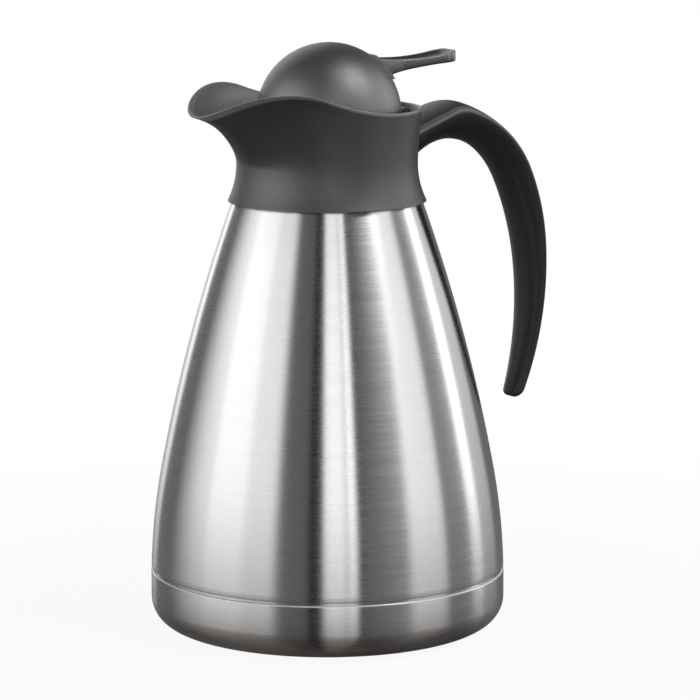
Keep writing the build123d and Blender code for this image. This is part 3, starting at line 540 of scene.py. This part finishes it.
cup_out = np.concatenate(
    [
        np.linspace([10.0, FOOT_Z], [BODY_R - BASE_CORNER_R, FOOT_Z], 8)[:-1],
        arc((BODY_R - BASE_CORNER_R, FOOT_Z + BASE_CORNER_R), BASE_CORNER_R, -90, 0, 22),
        arc((BODY_R - BASE_EDGE_R, BASE_TOP - BASE_EDGE_R), BASE_EDGE_R, 0, 90, 7),
        [[SPIGOT_R, BASE_TOP], [SPIGOT_R, SPIGOT_TOP]],
    ]
)
cup_in = np.concatenate(
    [
        [[SPIGOT_R - SHELL_T, SPIGOT_TOP], [SPIGOT_R - SHELL_T, BASE_TOP - SHELL_T]],
        [[BODY_R - SHELL_T, BASE_TOP - SHELL_T]],
        arc((BODY_R - BASE_CORNER_R, FOOT_Z + BASE_CORNER_R), BASE_CORNER_R - SHELL_T, 0, -90, 10),
        [[10.0, FOOT_Z + SHELL_T]],
    ]
)
cup_rows = np.concatenate([cup_out, cup_in])
cup = lathe("base_surface", cup_rows, LATHE_COLUMNS, poles=(FOOT_Z, FOOT_Z + SHELL_T))
# Painted highlight: the rows of the cup's rounded top edge are painted pale.
near_top = np.abs(cup_rows[:, 1] - BASE_TOP) < BASE_EDGE_R * 0.9
edge_rows = near_top & (cup_rows[:, 0] > SPIGOT_R + 0.1)
painted_light(cup, np.append(np.repeat(edge_rows * 1.0, LATHE_COLUMNS), [0, 0]))
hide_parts("base_cup")
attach(cup, "flask")
cup.data.materials.append(base_steel)
print("base cup rows:", len(cup_out) + len(cup_in))

# %% [markdown]
# ## Moulded plastic
# The collar and the ball come out of a mould whose walls were spark-eroded, which leaves a fine
# even pebble. Noise of about 0.4 mm gives the pebble its height, and finer noise adds pale flecks,
# which are painted glints of the pebble. The lip, the crease of the handle and the rims of the lever
# store painted highlights: there the plastic is painted paler and is a little smoother. The hollow
# inside the spout stores painted light at half strength.


# %% Plastic finishes
# The tone of the painted highlights and of the painted glints, and how much the painted glints show.
PAINTED_LIGHT_TONE, PAINTED_GLINT_SHARE = 0.16, 0.2


def moulded(name, tone, roughness, shine=1.7, pebble=0.5, grain=2600.0, cool=0.02):
    """Plastic with a pebbled skin, a little uneven in tone and shine. The shine is its IOR."""
    sheet = Sheet(bpy.data.materials.new(name))
    skin = sheet.noise(grain, 2.0)
    speck = sheet.noise(grain * 2.3, 1.0)
    cloud = sheet.noise(45.0, 3.0)
    share = skin * 0.5 + speck * 0.3 + cloud * 0.2
    # Painted glints: the brightest specks of the fine noise are painted pale.
    painted_glint = speck.ramp(0.45, 0.8)
    # Painted highlight, and paler painted light in the spout's hollow, where the mesh stores painted
    # light; it also lowers the roughness.
    painted_light_share = sheet.painted_light_mask()
    colour = sheet.blend(share, grey(tone * 0.6, -cool), grey(tone * 1.4, -cool))
    colour = sheet.blend(painted_glint * PAINTED_GLINT_SHARE, colour, grey(PAINTED_LIGHT_TONE, -cool))
    colour = sheet.blend(painted_light_share * (skin * 0.4 + 0.8), colour, grey(PAINTED_LIGHT_TONE, -cool))
    rough = skin * 0.12 + cloud * 0.06 + (roughness - 0.09) - painted_light_share * 0.08
    plastic = sheet.node(
        "BsdfPrincipled",
        Base_Color=colour,
        Roughness=rough,
        IOR=shine,
        Normal=sheet.bump(skin + speck * 0.5, pebble, 0.0002),
    )
    return sheet.end(plastic)


def soft_rubber(name, colour, roughness=0.6):
    """Rubber or silicone: a dull skin with a faint mottle."""
    sheet = Sheet(bpy.data.materials.new(name))
    mottle = sheet.noise(600.0, 3.0)
    dark = tuple(0.8 * part for part in colour[:3]) + (1.0,)
    rough = mottle * 0.15 + (roughness - 0.07)
    tint = sheet.blend(mottle, dark, colour)
    skin = sheet.bump(mottle, 0.15, 0.0001)
    return sheet.end(sheet.node("BsdfPrincipled", Base_Color=tint, Roughness=rough, Normal=skin))


def plain_metal(name, tone, roughness=0.35, warm=0.0):
    """Turned or drawn metal without a clear direction."""
    sheet = Sheet(bpy.data.materials.new(name))
    lines = sheet.noise(900.0, 3.0)
    colour = sheet.blend(lines, grey(tone * 0.85, warm), grey(tone * 1.12, warm))
    rough = lines * 0.12 + (roughness - 0.06)
    metal = sheet.node(
        "BsdfPrincipled",
        Base_Color=colour,
        Metallic=1.0,
        Roughness=rough,
        Normal=sheet.bump(lines, 0.08, 0.00005),
    )
    return sheet.end(metal)


finishes = {
    "body_steel": body_steel,
    "base_steel": base_steel,
    "liner_steel": brushed_steel("drawn_liner_steel", 0.6, roughness=0.34, spread=0.6),
    "inner_steel": plain_metal("drawn_inner_steel", 0.5),
    "solder": plain_metal("dull_solder", 0.42, 0.5),
    "getter_metal": plain_metal("dull_getter_metal", 0.5, 0.5),
    "screw_steel": plain_metal("turned_screw_steel", 0.6, 0.3),
    "pin_steel": plain_metal("ground_pin_steel", 0.62, 0.25),
    "collar_plastic": moulded("moulded_collar_plastic", 0.009, 0.43, 1.92, pebble=0.45),
    "lid_plastic": moulded("moulded_lid_plastic", 0.016, 0.38, 2.4),
    "lever_plastic": moulded("moulded_lever_plastic", 0.012, 0.32, 1.75, 0.15, grain=2200.0),
    "handle_plastic": moulded("moulded_handle_plastic", 0.012, 0.42, 1.55, 0.2, grain=2200.0),
    "tray_plastic": moulded("moulded_tray_plastic", 0.06, 0.45, pebble=0.2),
    "nut_plastic": moulded("moulded_nut_plastic", 0.04, 0.45, pebble=0.2),
    "stopper_plastic": moulded("moulded_stopper_plastic", 0.05, 0.42, pebble=0.2),
    "plate_plastic": moulded("moulded_plate_plastic", 0.05, 0.42, pebble=0.2),
    "foam": soft_rubber("open_cell_foam", (0.8, 0.78, 0.72, 1.0), 0.9),
    "foot_rubber": soft_rubber("foot_rubber", (0.03, 0.03, 0.03, 1.0)),
    "seal_rubber": soft_rubber("seal_rubber", (0.03, 0.03, 0.03, 1.0)),
    "seal_silicone": soft_rubber("seal_silicone", (0.7, 0.7, 0.68, 1.0), 0.45),
}
slots = {part["node"]: part["material_slot"] for part in frame["record"]["subparts"]}
for name, item in nodes.items():
    for place in item.material_slots:
        place.material = finishes[slots[name]]
print("finishes:", len(finishes), "on", len(nodes), "nodes")

# %% [markdown]
# ## The collar
# The collar is the carafe's one free form: round at the waist, an ellipse towards the spout, and
# cut by a rim that rises in one wave over the ball's front. It could be sculpted, but every ring of
# it is known: a half circle behind and a half ellipse in front. The ellipse's reach grows with the
# share of the way up to the rim, so the flare ends where the rim is, at every angle. The skin is
# one grid, with an angle for the columns and the way from the lower edge over the lip and down
# inside for the rows. The wall thins out towards the lip, as moulded spouts do.

# %% Rings and rim of the collar
COLLAR_Z, COLLAR_FOOT_R = 160.25, 36.9
WAIST_Z, WAIST_R = 174.25, 33.6
RIM_Z, RIM_R = 194.75, 35.2
TIP_Z, SPOUT_REACH = 193.45, 54.75
SIDE_CURVE, SPREAD = 1.7, 0.3
SWEEP, SWEEP_START, LIP_TURN = 0.675, 0.5, 7.63
CREST_X, CREST_Z, CREST_R = -30.5, 202.95, 35.0
RIM_SLOPE = math.radians(20.3)


def collar_ring(turn, height, inset=0.0):
    """A ring's points at an angle: the cosine times the side radius behind and the reach in front,
    the sine times the side radius. The side grows with a power of the height above the waist. The
    reach grows with the share of the way to that angle's rim. Part of it grows softly from the
    waist, and the rest with a high power, which turns the lip out. The inset is taken off both."""
    above = np.maximum(height - rim_here, 0)
    rise = np.maximum(height - WAIST_Z, 0)
    side = WAIST_R + (RIM_R - WAIST_R) * (rise / (RIM_Z - WAIST_Z)) ** SIDE_CURVE - inset
    way = (rise - above) / (rim_here - WAIST_Z)
    swept = SWEEP * way**2 * (1 + SWEEP_START) / (way + SWEEP_START) + (1 - SWEEP) * way**LIP_TURN
    reach = WAIST_R + (SPOUT_REACH - WAIST_R) * swept + SPREAD * above - inset
    wide = np.where(np.cos(turn) < 0, reach, side)
    return np.stack([np.cos(turn) * wide, np.sin(turn) * side, height + 0 * turn], -1)


def rim_height(x):
    """The rim from the side: level, then a hollow arc and an arched one that meet at its slope."""
    valley_r = (CREST_Z - RIM_Z) / (1 - math.cos(RIM_SLOPE)) - CREST_R
    valley_x = CREST_X + (valley_r + CREST_R) * math.sin(RIM_SLOPE)
    turning_x = CREST_X + CREST_R * math.sin(RIM_SLOPE)
    out = np.maximum(valley_x - x, 0)
    hollow = RIM_Z + valley_r - np.sqrt(np.maximum(valley_r**2 - out**2, 0))
    arch = CREST_Z - CREST_R + np.sqrt(np.maximum(CREST_R**2 - (x - CREST_X) ** 2, 0))
    return np.where(x < turning_x, arch, hollow)


def rim_of(turn, inset, lift):
    """The height at which a skin with this inset and lift meets the rim, found by halving."""
    low, high = np.full(turn.shape, WAIST_Z), np.full(turn.shape, CREST_Z + 10)
    for _ in range(40):
        middle = (low + high) / 2
        under = middle < rim_height(collar_ring(turn, middle - lift, inset)[:, 0])
        low, high = np.where(under, middle, low), np.where(under, high, middle)
    return low


# The reach needs the rim's height, and the rim's height needs the reach. So both are worked out in
# turn from a level rim, until they settle.
COLLAR_COLUMNS = 264
turns = np.linspace(0, 2 * math.pi, COLLAR_COLUMNS, endpoint=False)
rim_here = np.full(turns.shape, TIP_Z)
for _ in range(5):
    rim_here = np.maximum(rim_of(turns, 0.0, 0.0), TIP_Z)
print("rim heights in mm:", np.round(rim_of(turns, 0.0, 0.0)[[0, 66, 132]], 1).tolist())

# %% Rows of the collar's skin
LIP_W, WALL, WALL_LIFT, THINNING = 0.95, 2.2, 1.4, 7.0
LIP_R, LIP_OUT_R = 0.42, 0.95
TRAY_TOP, PAD_TOP, PAD_X = 181.71, 188.71, 30.12
EDGE_R = 0.3


def corner(first, tip, last, count=5):
    """A rounded corner: a quadratic curve from one point to another, pulled by the tip between."""
    share = np.linspace(0, 1, count)[:, None, None]
    return first * (1 - share) ** 2 + tip * 2 * share * (1 - share) + last * share**2


def inner_skin(turn, height, rim):
    """The wall's inner face: its inset eases from the lip's width to the full wall, with the square
    of the way that is left to the thick part."""
    left = np.clip(1 - (rim - height) / THINNING, 0, 1)
    inset = WALL - (WALL - LIP_W) * left**2
    points = collar_ring(turn, height - WALL_LIFT * inset / WALL, inset)
    points[..., 2] = height
    return points


def round_rings(outline):
    """The same outline of radius and height at every angle."""
    outline = np.asarray(outline)
    radius, height = outline[:, :1], outline[:, 1:]
    parts = radius * np.cos(turns), radius * np.sin(turns), height + 0 * turns
    return np.stack(parts, -1)


cove_out, cove_rise = COLLAR_FOOT_R - WAIST_R, WAIST_Z - COLLAR_Z
cove_r = (cove_out**2 + cove_rise**2) / (2 * cove_out)
cove_z = np.linspace(COLLAR_Z + EDGE_R, WAIST_Z, 22)[:-1]
cove_x = WAIST_R + cove_r - np.sqrt(cove_r**2 - (WAIST_Z - cove_z) ** 2)
cove = round_rings(np.stack([cove_x, cove_z], -1))

outer_rim = rim_of(turns, 0.0, 0.0)
inner_rim = rim_of(turns, LIP_W, WALL_LIFT * LIP_W / WALL)
climb = np.linspace(0, 1, 44)[:, None]
flank_rows = collar_ring(turns, WAIST_Z + climb * (outer_rim - LIP_OUT_R - WAIST_Z))
outer_tip = collar_ring(turns, outer_rim)
inner_tip = inner_skin(turns, inner_rim, inner_rim)
over = (inner_tip - outer_tip) / np.linalg.norm(inner_tip - outer_tip, axis=-1, keepdims=True)
inner_start = inner_skin(turns, inner_rim - LIP_R, inner_rim)
lip_out = corner(flank_rows[-1], outer_tip, outer_tip + LIP_R * over, 7)[1:]
lip_in = corner(inner_tip - LIP_R * over, inner_tip, inner_start)
descent = np.linspace(0, 1, 30)[1:, None] ** 1.3
hollow_top = inner_rim - LIP_R
hollow_rows = inner_skin(turns, hollow_top - descent * (hollow_top - PAD_TOP), inner_rim)
pad_rows = inner_skin(turns, np.linspace(PAD_TOP, TRAY_TOP, 5)[:, None] + 0 * turns, inner_rim)
pad_rows[..., 0] = np.minimum(pad_rows[..., 0], PAD_X)

# Radius and height down the lining, which no side shows: the tray's ledge and the bore for the neck
# nut, the seat for the gasket, the hollow over the steel's shoulder and the lower edge.
lining = np.concatenate(
    [
        [[31.0, TRAY_TOP], [31.0, 179.71], [30.4, 179.71], [30.4, 167.31], [27.35, 167.31]],
        [[27.35, 165.2], [27.45, 164.81], [31.15, 164.81], [31.15, 163.56], [31.43, 163.56]],
        arc((31.43, 159.21), CORNER_R + 0.35, 86, LEAN, 9),
        [[35.68, COLLAR_Z], [COLLAR_FOOT_R - EDGE_R, COLLAR_Z]],
        [[COLLAR_FOOT_R - 0.09, COLLAR_Z + 0.09]],
    ]
)
collar_rows = [cove, flank_rows, lip_out, lip_in, hollow_rows, pad_rows, round_rings(lining)]
collar_rows = np.concatenate(collar_rows)
collar_faces = grid_faces(len(collar_rows), len(turns), wrap_rows=True)
collar_skin = mesh_piece("collar_surface", collar_rows.reshape(-1, 3), collar_faces, sharp=34)
# Painted highlight along the lip, and paler painted light at half strength on the hollow inside the
# spout.
LIP_HIGHLIGHT, HOLLOW_PAINTED_LIGHT = 1.0, 0.5
collar_painted_light = np.zeros(len(collar_rows))
lip_row = len(cove) + len(flank_rows)
lip_end = lip_row + len(lip_out) + len(lip_in)
collar_painted_light[lip_row - 1 : lip_end] = LIP_HIGHLIGHT
collar_painted_light[lip_end : lip_end + len(hollow_rows)] = HOLLOW_PAINTED_LIGHT
painted_light(collar_skin, np.repeat(collar_painted_light, len(turns)))
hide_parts("collar")
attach(collar_skin, "flask")
collar_skin.data.materials.append(finishes["collar_plastic"])
print("collar rows and columns:", collar_rows.shape[:2])

# %% [markdown]
# ## The handle
# The handle is one swing of plastic: a crowned outer face, a rounded palm side and a crisp edge on
# each side between them. Its two lines in the middle plane are runs of arcs. A D-shaped section is
# carried along both at once, each line taken at the same share of its own length, which is how a
# loft would do it. The first row lies on the collar, so the joint follows the collar's round.

# %% Lines of the handle
HANDLE_START, HANDLE_SLOPE, HANDLE_LEAD = (29.9, 187.15), 21.7, 18.8
HANDLE_ARCS = ((11.5, 39.8), (44.5, 47.6), (93.3, 19.2), (143.8, 24.3))
PALM_START, PALM_SLOPE, PALM_LEAD = (32.3, 172.65), 46.5, 1.0
PALM_ARCS = ((23.2, 85.8), (34.8, 26.8), (111.2, 44.0))
HALF_W, TIP_HALF_W, TAPER, CROWN = 13.5, 6.0, 2.5, 2.3
FINE = 400


def swing(start, slope, lead, arcs):
    """A straight lead, then arcs that bend to the right, each along the last one's direction. It is
    returned as a function from a share of the whole length to points in the middle plane."""
    line = [np.linspace(start, np.array(start) + lead * direction(slope), FINE)]
    for radius, turn in arcs:
        centre = line[-1][-1] - radius * direction(slope + 90)
        line.append(arc(centre, radius, slope + 90, slope + 90 - turn, FINE)[1:])
        slope -= turn
    line = np.concatenate(line)
    way = np.concatenate([[0], np.cumsum(np.linalg.norm(np.diff(line, axis=0), axis=1))])
    way /= way[-1]
    return lambda share: np.stack([np.interp(share, way, line[:, k]) for k in (0, 1)], -1)


crown_line = swing(HANDLE_START, HANDLE_SLOPE, HANDLE_LEAD, HANDLE_ARCS)
palm_line = swing(PALM_START, PALM_SLOPE, PALM_LEAD, PALM_ARCS)
print("handle tip in mm:", crown_line(1.0).round(1).tolist(), palm_line(1.0).round(1).tolist())

# %% Skin of the handle
HANDLE_EDGE, TIP_ROUND, TIP_WAY = 0.7, 3.0, 150.0


def d_section(half, thick, bulge, count=19):
    """A D round its crown and its palm side: an arc of a circle through the bulge, half an ellipse,
    and a quadratic corner of the edge's size between them."""
    half, thick, bulge = (value[:, None] for value in (half, thick, bulge))
    radius = (half**2 + bulge**2) / (2 * bulge)
    flat_half = half - HANDLE_EDGE
    across = np.linspace(-1, 1, count) * flat_half
    crown = np.stack([np.sqrt(radius**2 - across**2) - radius, across], -1)
    first = np.arcsin(np.minimum(HANDLE_EDGE / (thick - bulge), 1))
    angle = first + (math.pi - 2 * first) * np.linspace(0, 1, 3 * count)
    palm = np.stack([-bulge - (thick - bulge) * np.sin(angle), half * np.cos(angle)], -1)
    share = np.linspace(0, 1, 6)[1:-1, None]
    corners = []
    for start, sign, stop in ((crown[:, -1:], 1, palm[:, :1]), (palm[:, -1:], -1, crown[:, :1])):
        tip = np.concatenate([-bulge, sign * half], -1)[:, None]
        corners.append(start * (1 - share) ** 2 + tip * 2 * share * (1 - share) + stop * share**2)
    return np.concatenate([crown, corners[0], palm, corners[1]], 1)[:, ::-1]


def handle_points(share):
    """Points of the handle for an array of shares, one row each, with its columns round the D."""
    top, low = crown_line(share), palm_line(share)
    out = top - low
    thick = np.linalg.norm(out, axis=-1)
    out /= thick[:, None]
    half = HALF_W - (HALF_W - TIP_HALF_W) * share**TAPER
    flat = d_section(half, thick, CROWN * half / HALF_W)
    left = np.clip(1 - (1 - share) * TIP_WAY / TIP_ROUND, 0, 1)
    shrink = (TIP_ROUND - TIP_ROUND * np.sqrt(1 - left**2))[:, None]
    depth = flat[..., 0] + thick[:, None] / 2
    depth *= 1 - shrink / (thick[:, None] / 2)
    side = flat[..., 1] * (1 - shrink / half[:, None])
    spine = (top + low)[:, None] / 2 + depth[..., None] * out[:, None]
    return np.stack([spine[..., 0], side, spine[..., 1]], -1)


def collar_radius(height):
    """The radius of the collar's back at a height, from its lower edge to its rim."""
    down, up = np.maximum(WAIST_Z - height, 0), np.maximum(height - WAIST_Z, 0)
    side = WAIST_R + (RIM_R - WAIST_R) * (up / (RIM_Z - WAIST_Z)) ** SIDE_CURVE
    return side + cove_r - np.sqrt(cove_r**2 - down**2)


JOINT_GAP = 0.1
CAP_SHARES = (0.02, 0.3, 0.65)  # rings of the face that meets the collar, from its middle outward
CREASE_COLUMNS = (-2, -1, 0, 1, 2, 3, 4, 60, 61, 62, 63, 64, 65, 66)  # both edges of the crown
CREASE_HIGHLIGHT = (0.0, 0.12, 0.35, 1.0), (1.0, 1.0, 0.3, 0.15)  # shares of the rows, and the painted highlight

shares = np.linspace(0, 1, 1200)
fine_rows = handle_points(shares)
from_axis = np.hypot(fine_rows[..., 0], fine_rows[..., 1])
outside_collar = from_axis > collar_radius(fine_rows[..., 2]) + JOINT_GAP
root_share = shares[np.argmax(outside_collar, axis=0)]
steps = np.concatenate([np.linspace(0, 0.975, 150), 1 - 0.025 * np.linspace(1, 0, 14)[1:] ** 1.6])
row_shares = root_share + (1 - root_share) * steps[:, None]
columns = np.arange(fine_rows.shape[1])
place = row_shares * (len(shares) - 1)
below = np.minimum(place.astype(int), len(shares) - 2)
part = (place - below)[..., None]
handle_rows = fine_rows[below, columns] * (1 - part) + fine_rows[below + 1, columns] * part

root_centre = handle_rows[0].mean(axis=0)
cap = root_centre + np.array(CAP_SHARES)[:, None, None] * (handle_rows[0] - root_centre)
cap[..., 0] = np.sqrt((collar_radius(cap[..., 2]) + JOINT_GAP) ** 2 - cap[..., 1] ** 2)
tip_cap = handle_rows[-1].mean(axis=0)
handle_rows = np.concatenate([cap, handle_rows])
handle_skin = tube("handle_surface", handle_rows, [cap[0].mean(axis=0), tip_cap], sharp=50)
# Painted highlight along both edges of the crown, full near the collar and fading towards the tip.
crease = np.zeros(len(columns))
crease[list(CREASE_COLUMNS)] = 1.0
along = np.linspace(0, 1, len(handle_rows))[:, None]
handle_highlight = crease * np.interp(along, *CREASE_HIGHLIGHT)
painted_light(handle_skin, np.append(handle_highlight.ravel(), [0, 0]))
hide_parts("handle")
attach(handle_skin, "flask")
handle_skin.data.materials.append(finishes["handle_plastic"])
print("handle rows and columns:", handle_rows.shape[:2])

# %% [markdown]
# ## The thumb lever
# The lever leaves the ball as a deep, narrow beam and ends as a thinner, wider tip for the thumb.
# Its top is hollowed between two raised rims. Each section is a rounded box whose top sinks
# smoothly from the rims to its middle, and the sections' width, top and underside follow curves
# along the lever. Inside the ball the skin goes on as a flat tongue, which a screw holds.

# %% Lines of the lever
BALL_X, BALL_R = 0.8, 26.9
LEVER_Z, LEVER_ROOT_X, LEVER_TIP_X = 212.41, 18.1, 52.5
LEVER_UNDER_Z, LEVER_LOW_X = LEVER_Z - 6.6, 23.77
LEVER_SAG, TIP_RISE, TIP_T = 0.6, 1.9, 4.3
ROOT_HALF_W, END_HALF_W, PLAN_R = 6.0, 7.75, 5.5
TONGUE_X, TONGUE_END_X, TONGUE_T = 6.5, 14.15, 3.0


def rounding(left, radius):
    """How far a quarter circle of this radius draws back at this distance from its end."""
    short = np.clip(radius - left, 0, radius)
    return radius - np.sqrt(radius**2 - short**2)


def lever_top(x):
    """A parabola from the ball over the sag in the middle to the tip."""
    way = np.clip((x - LEVER_ROOT_X) / (LEVER_TIP_X - LEVER_ROOT_X), 0, 1)
    square = 2 * (TIP_RISE + 2 * LEVER_SAG)
    return LEVER_Z + square * way**2 + (TIP_RISE - square) * way


def lever_under(x):
    """A cubic that leaves the ball two along for one up and ends level under the tip."""
    start = np.array([LEVER_LOW_X, LEVER_UNDER_Z])
    stop = np.array([LEVER_TIP_X, LEVER_Z + TIP_RISE - TIP_T])
    pull = np.linalg.norm(stop - start) / 2
    leave, arrive = pull * direction(math.degrees(math.atan2(1, 2))), pull * direction(0)
    t = np.linspace(0, 1, 200)[:, None]
    line = start * (1 + 2 * t) * (1 - t) ** 2 + stop * t**2 * (3 - 2 * t)
    line = line + leave * t * (1 - t) ** 2 - arrive * t**2 * (1 - t)
    return np.interp(x, line[:, 0], line[:, 1])


def lever_half(x):
    """Half the width: it widens evenly from the ball, and a circle rounds the tip's corners."""
    leave_x = BALL_X + BALL_R + 1.2
    even = np.interp(x, (leave_x, LEVER_TIP_X), (ROOT_HALF_W, END_HALF_W))
    return even - rounding(LEVER_TIP_X - x, PLAN_R)


middle = (LEVER_ROOT_X + LEVER_TIP_X) / 2
print("lever's top and underside:", lever_top(middle).round(1), lever_under(middle).round(1))

# %% Skin of the lever
RIM_W, HOLLOW_DEPTH, LEVER_EDGE, TIP_EDGE = 1.5, 1.3, 0.6, 0.9
# The first row and the columns of the lever's rims that take the painted highlight.
FIRST_HIGHLIGHT_ROW, RIM_COLUMNS = 3, [*range(0, 8), *range(31, 39)]


def lever_section(half, low, high, sink):
    """A rounded box from the far upper edge over the top, down the near side, back underneath and
    up the far side. The top sinks by a smooth power of the distance from the raised rims."""
    half, low, high, sink = (value[:, None] for value in (half, low, high, sink))
    bend = np.linspace(0, math.pi / 2, 6)
    out, up = LEVER_EDGE * np.sin(bend), LEVER_EDGE * (1 - np.cos(bend))
    flat = half - LEVER_EDGE
    across = np.linspace(1, -1, 29)[1:-1] * flat
    bowl = np.clip(1 - (across / np.maximum(half - RIM_W, 0.1)) ** 2, 0, 1) ** 1.2
    y = [flat + out[::-1], across, -flat - out, -flat - out[::-1], flat + out]
    z = [high - up[::-1], high - sink * bowl, high - up, low + up[::-1], low + up]
    return np.concatenate(y, 1), np.concatenate(z, 1)


near_tip = LEVER_TIP_X - np.linspace(1, 0, 18) ** 1.7 * PLAN_R
beam_x = np.concatenate([np.linspace(LEVER_ROOT_X, LEVER_TIP_X - PLAN_R, 60)[:-1], near_tip])
tongue_x = np.array([TONGUE_X, TONGUE_END_X, TONGUE_END_X])
lever_x = np.concatenate([tongue_x, beam_x])
tip_edge = rounding(LEVER_TIP_X - lever_x, TIP_EDGE)
high = lever_top(lever_x) - tip_edge
high[:2] = LEVER_UNDER_Z + TONGUE_T
low = np.where(lever_x < LEVER_LOW_X, LEVER_UNDER_Z, lever_under(lever_x)) + tip_edge
from_root = np.clip((lever_x - LEVER_ROOT_X - 1) / 5, 0, 1)
into = from_root * np.clip((LEVER_TIP_X - TIP_EDGE - lever_x) / 4, 0, 1)
sink = HOLLOW_DEPTH * into * into * (3 - 2 * into)
lever_y, lever_z = lever_section(lever_half(lever_x), low, high, sink)
lever_rows = np.stack([lever_x[:, None] + 0 * lever_y, lever_y, lever_z], -1)
lever_ends = [lever_rows[0].mean(axis=0), lever_rows[-1].mean(axis=0)]
lever_skin = tube("lever_surface", lever_rows, lever_ends, sharp=50)
# Painted highlight on both raised rims, from the fourth row on.
lever_highlight = np.zeros(lever_rows.shape[:2])
lever_highlight[FIRST_HIGHLIGHT_ROW:, RIM_COLUMNS] = 1.0
painted_light(lever_skin, np.append(lever_highlight.ravel(), [0, 0]))
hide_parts("thumb_lever")
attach(lever_skin, "lid")
lever_skin.data.materials.append(finishes["lever_plastic"])
print("lever rows and columns:", lever_rows.shape[:2])

# %% Update the scene, and the end
bpy.context.view_layer.update()
